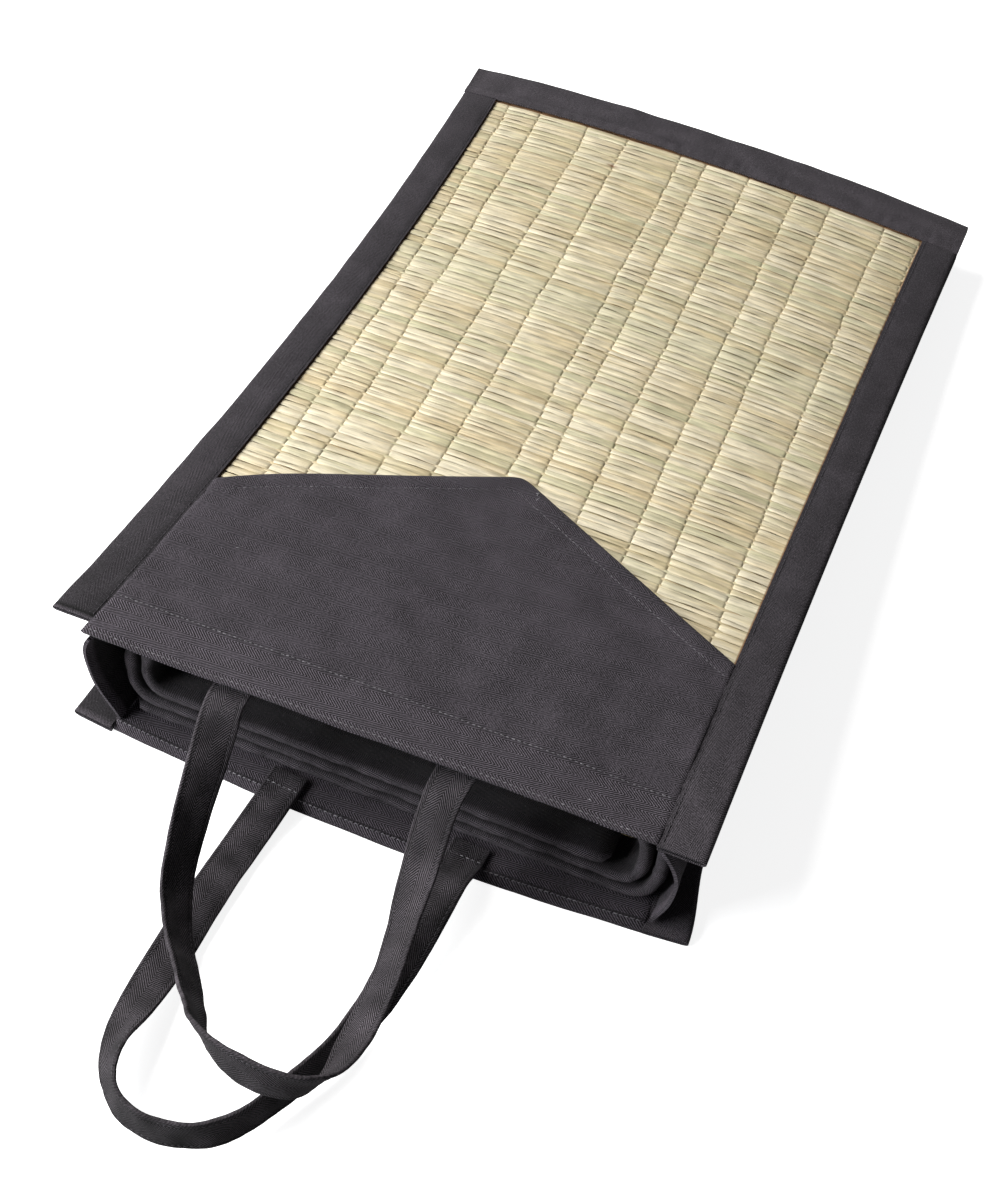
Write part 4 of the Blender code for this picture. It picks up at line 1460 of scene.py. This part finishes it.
@dataclass(frozen=True)
class WoundMat:
    """The mat, wound flat in five layers, with its edges bound in puffed tape.

    The rows of five give each layer's start, end and share of the room's
    height, from the free outer end to the core, and how far its turn reaches.
    """

    bag: BagForm
    start_x: tuple[float, ...] = (-0.158, 0.155, -0.146, 0.150, -0.138)
    end_x: tuple[float, ...] = (0.155, -0.146, 0.150, -0.138, 0.143)
    front_share: tuple[float, ...] = (0.052, 0.872, 0.168, 0.752, 0.292)
    back_share: tuple[float, ...] = (0.10, 0.90, 0.30, 0.70, 0.50)
    turn_reach: tuple[float, ...] = (0.0225, 0.018, 0.017, 0.015, 0.0)
    squareness: float = 2.6
    settles_y: float = 0.42
    run_steps: int = 5
    turn_steps: int = 8
    mat: float = 0.0040
    cloth: float = 0.0010
    edge_depth: float = 0.0084
    stitched_depth: float = 0.0070
    tape: float = 0.027
    back_y: float = 0.592
    edge_inside: float = 0.0038
    end_setback: float = 0.008
    puff_share: float = 0.6
    overhang: float = 0.0045
    front_y: float = 0.0098
    front_slant: float = 0.15

    def layer_height(self, layer: Array, x: Array, y: Array) -> Array:
        """Return the height of a layer's middle: its share of the room between the faces."""
        blend = eased(y / self.settles_y)
        share = (np.array(self.front_share)[layer] * (1 - blend)
                 + np.array(self.back_share)[layer] * blend)
        floor = self.bag.depth + self.bag.clear
        ceiling = self.bag.height(x, y) - self.bag.depth - self.bag.clear
        return floor + share * (ceiling - floor)

    def line(self, step: Array, y: Array) -> Array:
        """Return the middle line of the wound mat, as x and z.

        Each layer is a straight run, and each turn between two layers is half
        of a squared ellipse.

        Args:
            step: Step along the winding, whole or part.
            y: Distance from the mouth.

        Returns:
            Points (x, z).
        """
        step, y = np.broadcast_arrays(step, y)
        pair, last = self.run_steps + self.turn_steps, len(self.start_x) - 1
        layer = np.clip(np.floor(step / pair).astype(int), 0, last)
        after = np.minimum(layer + 1, last)
        along = step - layer * pair
        start, end = np.array(self.start_x)[layer], np.array(self.end_x)[layer]
        x_run = start + (end - start) * along / self.run_steps
        z_run = self.layer_height(layer, x_run, y)
        angle = math.pi * ((along - self.run_steps) / self.turn_steps - 0.5)
        power = 2.0 / self.squareness
        here, there = self.layer_height(layer, end, y), self.layer_height(after, end, y)
        out = np.array(self.turn_reach)[layer] * np.maximum(np.cos(angle), 0.0) ** power
        lift = np.sign(angle) * np.abs(np.sin(np.clip(angle, -math.pi / 2, math.pi / 2))) ** power
        x_turn = end + np.sign(end) * out
        z_turn = (here + there) / 2 + (there - here) / 2 * lift
        straight = (along <= self.run_steps) | (layer == last)
        return np.stack((np.where(straight, x_run, x_turn), np.where(straight, z_run, z_turn)), -1)

    def steps(self) -> int:
        """Return the number of steps along the whole winding."""
        return len(self.start_x) * self.run_steps + (len(self.start_x) - 1) * self.turn_steps

    def place(self, step: Array, y: Array, offset: Array) -> Array:
        """Return points off the middle line by an offset, square to it."""
        step, y, offset = np.broadcast_arrays(step, y, offset)
        along = self.line(step + 0.25, y) - self.line(step - 0.25, y)
        square = unit(np.stack((-along[..., 1], along[..., 0]), -1))
        spot = self.line(step, y) + square * offset[..., None]
        return np.stack((self.bag.drawn_in(spot[..., 0], y), y, spot[..., 1]), -1)

    def even_steps(self, count: int, low: float, high: float) -> tuple[Array, Array]:
        """Return winding steps that are evenly spaced by length, and that length."""
        fine = np.linspace(low, high, 3000)
        travel = arc_lengths(self.line(fine, np.full(fine.shape, self.front_y)))
        even = np.linspace(0.0, travel[-1], count)
        return np.interp(even, travel, fine), even

    def front(self, step: Array) -> Array:
        """Return how far back the mat's bound edge lies: further where it is higher."""
        z = self.line(step, np.full(step.shape, self.front_y))[..., 1]
        return self.front_y + self.front_slant * z

    def tape_places(self, flat: int, round_steps: int) -> Array:
        """Return places across a tape: some on each flat side and some round its edge."""
        side = np.linspace(-1.0, -self.puff_share, flat)[:-1]
        return np.concatenate((side, np.linspace(-self.puff_share, self.puff_share, round_steps),
                               -side[::-1]))

    def overhang_steps(self) -> tuple[float, float]:
        """Return the length of one winding step and how many steps a tape hangs over."""
        step_length = (self.end_x[0] - self.start_x[0]) / self.run_steps
        return step_length, self.overhang / step_length

    def puffed(self, place: Array) -> tuple[Array, Array]:
        """Return the tape's section: reach from the bound edge, and offset.

        Round and full at the edge, then thinner towards its stitches.

        Args:
            place: Place across the tape, -1 and 1 at its stitched edges.

        Returns:
            Reach and offset.
        """
        fold, stitched = (self.edge_depth - self.cloth) / 2, (self.stitched_depth - self.cloth) / 2
        angle = np.clip(place / self.puff_share, -1.0, 1.0) * math.pi / 2
        along = np.clip((np.abs(place) - self.puff_share) / (1 - self.puff_share), 0.0, 1.0)
        curved = np.abs(place) <= self.puff_share
        reach = np.where(curved, self.cloth / 2 + fold * (1 - np.cos(angle)),
                         fold + self.cloth / 2 + along * (self.tape - fold))
        offset = np.where(curved, fold * np.sin(angle),
                          np.sign(place) * (fold + (stitched - fold) * along))
        return reach, offset

    def build(self) -> None:
        """Build the mat, its front tape and the tapes of its two ends."""
        total = self.steps()
        step, travel = self.even_steps(380, 0.0, total)
        front = self.front(step) + self.edge_inside
        t = np.linspace(0.0, 1.0, 18)[:, None] ** 1.4
        y = front[None, :] + t * (self.back_y - front[None, :])
        ribs = 0.00025 * np.sin(TAU * travel / 0.0240)[None, :]
        points = self.place(step[None, :], y, ribs + 0.0 * y)
        maker = MeshMaker("rolled_mat")
        cloth = stacked(y, travel[None, :])
        tan = 0.5 + 0.3 * ripple(travel, travel, 0.011, 101)
        tone = stacked(tan[None, :], 0.2, 0.0 * y).clip(0.0, 1.0)
        maker.add_shell(points, self.mat - 0.0008, cloth, tone)
        mat = maker.make(MAT_STRAW, ("mat_roll",))
        self.front_tape(total)
        self.end_tapes(total)

    def front_tape(self, total: int) -> None:
        """Build the tape round the mat's front edge.

        It is pinched at its two ends, gathers slant across it and its seam is
        dented.  Its crest gets a painted highlight, and its seam and flat sides
        painted shade.

        Args:
            total: Number of steps along the winding.
        """
        _, over = self.overhang_steps()
        step, travel = self.even_steps(440, -over, total + over)
        place = self.tape_places(7, 13)[:, None]
        reach, offset = self.puffed(place)
        nose = np.clip(np.minimum(travel, travel[-1] - travel) / 0.0085, 0.0, 1.0)[None, :]
        ends = np.sqrt(1.0 - (1.0 - nose) ** 2)
        pinch = 0.22 + 0.78 * ends
        gather = ripple(travel[None, :], place * 0.010, 0.021, 111, spread=0.9)
        fine = ripple(travel[None, :], place * 0.006, 0.005, 112, spread=0.5)
        swell = (0.00034 * gather + 0.00020 * fine) * eased((1.0 - np.abs(place)) / 0.60)
        seam = -0.0004 * bell(np.abs(place) - 0.90, 0.05)
        swell = swell + 0.0016 * bell(travel[-1] - 0.013 - travel, 0.009)[None, :]
        facing = np.sign(place) * eased(np.abs(place) / 0.25)
        y = self.front(step)[None, :] + reach - (swell - 0.0003) * (1 - np.abs(facing))
        y = y + 0.0060 * (1.0 - ends)
        points = self.place(step[None, :], y, (offset + facing * (swell + seam)) * pinch)
        maker = MeshMaker("mat_front_tape")
        across = arc_lengths(np.stack((reach[:, 0], offset[:, 0]), -1))[:, None]
        cloth = stacked(travel[None, :], across)
        # Painted shade along the seams and the flat sides, and a painted highlight along the crest.
        dark = 0.5 * bell(np.abs(place) - 0.90, 0.03) + 0.0 * travel[None, :]
        dark = dark + 0.75 * eased((np.abs(place) - 0.30) / 0.25)
        light = 0.75 * bell(place - 0.04, 0.20) * (1.0 + 0.25 * gather + 0.25 * fine).clip(0.1)
        maker.add_shell(points, self.cloth, cloth, np.stack((light, 0.0 * dark - 0.6, dark), -1))
        piece = maker.make(TAPE, ("mat_front_binding",))

    def end_tapes(self, total: int) -> None:
        """Build the tapes round the mat's outer and core ends."""
        step_length, over = self.overhang_steps()
        place = self.tape_places(6, 11)[None, :]
        front = self.front_y + self.tape + self.end_setback
        y = np.linspace(front, self.back_y, 84)[:, None]
        reach, offset = self.puffed(place)
        across = arc_lengths(np.stack((reach[0], offset[0]), -1))[None, :]
        for name, first, inward in (("outer", 0.0, 1.0), ("core", float(total), -1.0)):
            step = first + inward * (reach / step_length - over)
            swell = 0.0003 * ripple(y, place * 0.01, 0.014, 121) * eased((1 - np.abs(place)) / 0.25)
            points = self.place(step, y, offset + np.sign(place) * swell)
            maker = MeshMaker(f"mat_{name}_end_tape")
            maker.add_shell(points, self.cloth, stacked(y, across))
            piece = maker.make(TAPE, (f"mat_{name}_end_binding",))


# -------------------------------------------------------------------- the handles


@dataclass(frozen=True)
class StrapHandle:
    """A flat strap of folded, edge-stitched tape along a free route."""

    name: str
    bag: BagForm
    face: Face
    route: tuple[tuple[float, float, float | None, float], ...]
    width: float = 0.024
    thick: float = 0.0026
    seam: float = 0.0028
    sewn: float = 0.0105
    # Painted light and shade along the strap: distance from its first end, breadth and change of
    # light.
    painted_light_and_wear: tuple[Triple, ...] = ()
    stations: int = 240
    seed: int = 130

    def sewn_height(self, x: float, y: float) -> float:
        """Return the height of the strap's middle where it is sewn to the panel."""
        lift = self.bag.depth + self.bag.clear + self.thick / 2.0
        if self.face is Face.TOP:
            return float(self.bag.height(np.array(x), np.array(y))) - lift
        return lift

    def path(self) -> tuple[Array, Array, Array]:
        """Return the strap's centre line and, at each point, across it and out of it.

        A smooth curve through the route's rows (Catmull-Rom), with the strap's
        width leaning from flat by the angle that each row gives.

        Returns:
            Points, unit vectors across, and unit vectors square to the face.
        """
        table = np.array([(x, y, self.sewn_height(x, y) if z is None else z, lean)
                          for x, y, z, lean in self.route])
        share = np.linspace(0.0, 1.0, self.stations)
        here = self.smooth(table, share)
        along = unit(self.smooth(table, np.minimum(share + 0.004, 1.0))[:, :3]
                     - self.smooth(table, np.maximum(share - 0.004, 0.0))[:, :3])
        side = unit(np.cross(along, (0.0, 0.0, 1.0)))
        rise = np.cross(side, along)
        lean = np.radians(here[:, 3])[:, None]
        across = side * np.cos(lean) + rise * np.sin(lean)
        return here[:, :3], across, np.cross(across, along)

    def smooth(self, table: Array, share: Array) -> Array:
        """Return the rows of a table joined by Catmull-Rom curves, at each share."""
        spot = share * (len(table) - 1)
        index = np.minimum(spot.astype(int), len(table) - 2)
        t = (spot - index)[:, None]
        padded = np.concatenate((2 * table[:1] - table[1:2], table, 2 * table[-1:] - table[-2:-1]))
        p0, p1, p2, p3 = (padded[index + k] for k in range(4))
        return 0.5 * (2 * p1 + (p2 - p0) * t + (2 * p0 - 5 * p1 + 4 * p2 - p3) * t ** 2
                      + (3 * p1 - p0 - 3 * p2 + p3) * t ** 3)

    def build(self) -> None:
        """Build the strap.

        Its section is two faces with rolled edges and a dent along each seam,
        joined round the sides, and is carried along the centre line.
        """
        center, across, out = self.path()
        travel = arc_lengths(center)
        half = self.width / 2.0
        w = np.array((-1.0, -0.96, -0.88, -0.81, -0.765, -0.72, -0.6, -0.3, 0.0,
                      0.3, 0.6, 0.72, 0.765, 0.81, 0.88, 0.96, 1.0)) * half
        inward = half - np.abs(w)
        face = self.thick / 2.0 * (0.86 + 0.14 * bell(inward - 0.0012, 0.0014))
        face = face * np.sqrt(np.clip(1.0 - (1.0 - inward / 0.0011).clip(0.0) ** 2, 0.0, 1.0))
        face = face - 0.00026 * bell(inward - self.seam, 0.0007)
        face[0] = face[-1] = 0.0
        ring_w = np.concatenate((w, w[-2:0:-1]))
        ring_t = np.concatenate((face, -face[-2:0:-1]))
        soft = 0.00052 * ripple(travel[:, None], ring_w[None, :], 0.026, self.seed)
        fine = 0.00016 * ripple(travel[:, None], ring_w[None, :], 0.010, self.seed + 1)
        shift = (soft + fine) * (1.0 - 0.6 * np.abs(ring_w)[None, :] / half)
        rings = (center[:, None] + across[:, None] * ring_w[None, :, None]
                 + out[:, None] * (ring_t[None, :] + shift)[..., None])
        cloth = stacked(travel[:, None], ring_w[None, :])
        rim = (half - np.abs(ring_w))[None, :]
        # Painted shade along each seam, a painted highlight on the rolled edges, and the listed
        # painted light and shade along the strap.
        dark = 0.40 * bell(rim - self.seam, 0.0009)
        mottle = 0.24 * ripple(travel[:, None], ring_w[None, :] * 0.6, 0.024, self.seed + 8)
        light = 0.30 * bell(rim, 0.001) + mottle
        for at, breadth, change in self.painted_light_and_wear:
            light = light + change * bell(travel[:, None] - at, breadth)
        tone = stacked(light, 0.85 * bell(rim, 0.0011), dark)
        maker = MeshMaker(self.name)
        maker.add_tubes(rings[None], cloth[None], tone[None])
        piece = maker.make(WEBBING, (self.name.replace("strap", "handle"),))
        stitches = MeshMaker(self.name + "_stitches")
        for number, (edge, side) in enumerate(((-1, 1), (-1, -1), (1, 1), (1, -1))):
            line = (center + across * edge * (half - self.seam)
                    + out * side * (self.thick * 0.43 - 0.0003))
            Seam(light=0.03, thread=0.00021).sew(stitches, line, out * side, self.seed + 2 + number)
        if self.face is Face.BOTTOM:
            self.sew_down(stitches, center, across, out, travel)
        thread = stitches.make(THREAD)

    def sew_down(self, maker: MeshMaker, center: Array, across: Array,
                 out: Array, travel: Array) -> None:
        """Sew the hem's row of stitches across both of the strap's ends.

        Args:
            maker: The mesh that takes the stitches.
            center: The strap's centre line.
            across: Direction across it at each point.
            out: Direction out of its face at each point.
            travel: Length travelled at each point.
        """
        spread = np.linspace(-0.46, 0.46, 12)[:, None] * self.width
        for number, at in enumerate((self.sewn, travel[-1] - self.sewn)):
            here = int(np.searchsorted(travel, at))
            row = center[here] + across[here] * spread + out[here] * (self.thick / 2.0 - 0.0001)
            Seam(light=0.60).sew(maker, row, out[here], self.seed + 6 + number)


# The straps' routes: x, y, height (None where it is sewn down) and lean in degrees
TOP_ROUTE = (
    (-0.079, 0.030, None, 0), (-0.0795, 0.020, None, 0), (-0.080, 0.010, None, 0),
    (-0.081, 0.002, 0.0848, 0), (-0.0815, -0.007, 0.081, 5), (-0.0815, -0.018, 0.0705, 20),
    (-0.080, -0.037, 0.0575, 33), (-0.078, -0.058, 0.0445, 44), (-0.075, -0.0785, 0.0315, 50),
    (-0.068, -0.099, 0.022, 51), (-0.0545, -0.1195, 0.0195, 57), (-0.0387, -0.138, 0.024, 61),
    (-0.025, -0.1545, 0.033, 65), (-0.012, -0.1695, 0.043, 79), (0.008, -0.181, 0.052, 96),
    (0.033, -0.1855, 0.0563, 103), (0.053, -0.180, 0.0518, 89), (0.0628, -0.1645, 0.0438, 56),
    (0.064, -0.1425, 0.0382, 36), (0.064, -0.118, 0.036, 36), (0.0628, -0.0935, 0.0362, 42),
    (0.059, -0.0705, 0.037, 38), (0.056, -0.048, 0.0425, 24), (0.0548, -0.025, 0.061, 9),
    (0.0562, -0.010, 0.0795, 3), (0.058, 0.001, 0.0848, 0), (0.060, 0.010, None, 0),
    (0.0605, 0.020, None, 0), (0.061, 0.030, None, 0),
)
BOTTOM_ROUTE = (
    (-0.052, 0.0085, None, 0), (-0.053, -0.008, None, 0), (-0.055, -0.024, 0.0062, 3),
    (-0.0573, -0.047, 0.0045, 0), (-0.0589, -0.070, 0.005, 0), (-0.0597, -0.093, 0.0057, 4),
    (-0.0597, -0.116, 0.0065, 9), (-0.0596, -0.139, 0.0088, 3), (-0.0593, -0.1615, 0.0125, -17),
    (-0.0578, -0.183, 0.0165, -43), (-0.0503, -0.2025, 0.0183, -66),
    (-0.0344, -0.216, 0.0184, -77), (-0.010, -0.2184, 0.0183, -80),
    (0.0125, -0.210, 0.0178, -82), (0.0268, -0.1945, 0.0168, -82), (0.037, -0.175, 0.0158, -81),
    (0.0467, -0.154, 0.0152, -77), (0.0542, -0.132, 0.0145, -69), (0.0587, -0.110, 0.0132, -56),
    (0.0607, -0.0875, 0.0118, -38), (0.0618, -0.0645, 0.0112, -19), (0.063, -0.042, 0.0115, -2),
    (0.0648, -0.0225, 0.012, 10), (0.0659, -0.014, 0.0113, 9), (0.0664, -0.008, 0.0096, 4),
    (0.0666, -0.002, 0.0083, 1), (0.067, 0.0075, None, 0),
)

# Painted light and shade along the straps: distance from the first end, breadth and change of light
TOP_PAINTED_LIGHT = ((0.070, 0.030, 0.35), (0.350, 0.020, 0.15), (0.440, 0.050, 0.15))
BOTTOM_PAINTED_SHADE = ((0.240, 0.055, -0.45), (0.110, 0.018, -0.20), (0.060, 0.016, -0.20),
               (0.470, 0.035, -0.35))


# --------------------------------------------------------------------- the studio


@dataclass(frozen=True)
class Studio:
    """The pale floor, the soft lights and the camera."""

    place: Triple = (0.2677, -0.6843, 0.9035)
    turn: Triple = (2.4295, 0.5043, -0.145)
    lens: float = 52.64
    key: float = 176.0
    fill: float = 44.0
    ambient: float = 0.07

    def camera(self) -> None:
        """Put the camera where the photograph was taken from.

        The turn is a rotation vector from the frame to the camera's own axes,
        with x right, y down and z forward, made a matrix by Rodrigues' rule.
        """
        vector = np.array(self.turn)
        angle = float(np.linalg.norm(vector))
        x, y, z = vector / angle
        cross = np.array(((0.0, -z, y), (z, 0.0, -x), (-y, x, 0.0)))
        rotation = np.eye(3) + math.sin(angle) * cross + (1 - math.cos(angle)) * cross @ cross
        back = (np.diag((1.0, -1.0, -1.0)) @ rotation).T
        matrix = np.eye(4)
        matrix[:3, :3] = back
        matrix[:3, 3] = self.place
        data = bpy.data.cameras.new("camera")
        data.lens = self.lens
        data.sensor_width = data.sensor_height = 36.0
        data.sensor_fit = "AUTO"
        data.clip_start = 0.01
        camera = bpy.data.objects.new("camera", data)
        camera.matrix_world = Matrix(matrix.tolist())
        bpy.context.scene.collection.objects.link(camera)
        bpy.context.scene.camera = camera

    def floor(self) -> None:
        """Lay the plain pale floor, a wide square sheet that glows for the camera alone."""
        mesh = bpy.data.meshes.new("floor")
        size, level = 6.0, -0.0004
        mesh.from_pydata([(-size, -size, level), (size, -size, level), (size, size, level),
                          (-size, size, level)], [], [(0, 1, 2, 3)])
        floor = bpy.data.objects.new("floor", mesh)
        bpy.context.scene.collection.objects.link(floor)
        material = bpy.data.materials.new("floor")
        material.use_nodes = True
        nodes = Nodes(material.node_tree)
        seen = nodes.add("ShaderNodeLightPath").outputs["Is Camera Ray"]
        nodes.feed(material.node_tree.nodes["Principled BSDF"], {
            "Base Color": nodes.mix(seen, (0.38, 0.38, 0.38, 1.0), (0.92, 0.92, 0.92, 1.0)),
            "Emission Strength": nodes.times(seen, 0.85),
            "Emission Color": (1.0, 1.0, 1.0, 1.0), "Roughness": 0.9,
            "Specular IOR Level": 0.1})
        mesh.materials.append(material)

    def lamp(self, name: str, power: float, size: float, place: Triple,
             aim: Triple, color: Triple) -> None:
        """Hang a square soft light.

        Args:
            name: Name of the light.
            power: Its power in watts.
            size: Length of its sides.
            place: Where it hangs.
            aim: The point that it faces.
            color: Its colour.
        """
        data = bpy.data.lights.new(name, "AREA")
        data.energy, data.size, data.color = power, size, color
        lamp = bpy.data.objects.new(name, data)
        away = np.array(place) - np.array(aim)
        z = away / np.linalg.norm(away)
        x = np.cross((0.0, 1.0, 0.0), z)
        x /= np.linalg.norm(x)
        matrix = np.eye(4)
        matrix[:3, :3] = np.stack((x, np.cross(z, x), z), -1)
        matrix[:3, 3] = place
        lamp.matrix_world = Matrix(matrix.tolist())
        bpy.context.scene.collection.objects.link(lamp)

    def lights(self) -> None:
        """Hang the lights: a broad key from the left and a fill from the front left."""
        middle = (0.0, 0.1, 0.0)
        self.lamp("key", self.key, 2.2, (-2.5, 0.15, 2.75), middle, (1.0, 0.985, 0.965))
        self.lamp("fill", self.fill, 1.0, (-1.5, -1.3, 0.9), middle, (0.96, 0.98, 1.0))
        world = bpy.data.worlds.new("studio")
        world.use_nodes = True
        world.node_tree.nodes["Background"].inputs[0].default_value = (0.95, 0.97, 1.0, 1.0)
        world.node_tree.nodes["Background"].inputs[1].default_value = self.ambient
        bpy.context.scene.world = world
        bpy.context.scene.view_settings.view_transform = "Standard"
        bpy.context.scene.view_settings.look = "None"

    def build(self) -> None:
        """Set up the floor, the lights and the camera."""
        self.camera()
        self.floor()
        self.lights()


YOKE_CREASES = (
    Crease((-0.0140, 0.2120), (0.0005, 0.2160), 0.0012, -0.0007),
    Crease((-0.105, 0.050), (-0.060, 0.085), 0.010, -0.0006),
    Crease((0.040, 0.065), (0.120, 0.110), 0.014, 0.0006),
)
YOKE_LINT = (
    (-0.1330, 0.0935, 0.0024, 0.0012), (0.1322, 0.0128, 0.0020, -0.0008),
    (0.0160, 0.2085, 0.0014, 0.0034), (0.0150, 0.2120, 0.0002, 0.0030),
    (0.0135, 0.2140, 0.0024, 0.0016),
)


def build_face(bag: BagForm, face: Face) -> None:
    """Build the grass, the yoke and the tapes of one face; the hidden one is coarser.

    Args:
        bag: The shape of the bag.
        face: The top or the bottom face.
    """
    if face is Face.TOP:
        seed, lint, rows, columns, steps, setback, pinch = 11, YOKE_LINT, 92, 150, 230, 0.011, 0.5
    else:
        seed, lint, rows, columns, steps, setback, pinch = 31, (), 54, 100, 130, -0.002, 0.3
    StrawWeave(bag, face, seed=seed).build()
    ClothYoke(bag, face, rows=rows, columns=columns, creases=YOKE_CREASES, lint=lint).build()
    SideTape(bag, face, side=Side.LEFT, setback=setback, pinch=pinch, steps=steps).build()
    SideTape(bag, face, side=Side.RIGHT, pinch=0.4, steps=steps).build()
    BackTape(bag, face).build()


def main() -> None:
    """Build the studio and every sub-assembly in order."""
    Studio().build()
    bag = BagForm()
    for face in Face:
        build_face(bag, face)
    Gusset(bag).build()
    WoundMat(bag).build()
    StrapHandle("strap_top", bag, Face.TOP, TOP_ROUTE, painted_light_and_wear=TOP_PAINTED_LIGHT, seed=130).build()
    StrapHandle("strap_bottom", bag, Face.BOTTOM, BOTTOM_ROUTE, painted_light_and_wear=BOTTOM_PAINTED_SHADE,
                seed=150).build()


if __name__ == "__main__":
    logging.basicConfig(level=logging.INFO)
    main()
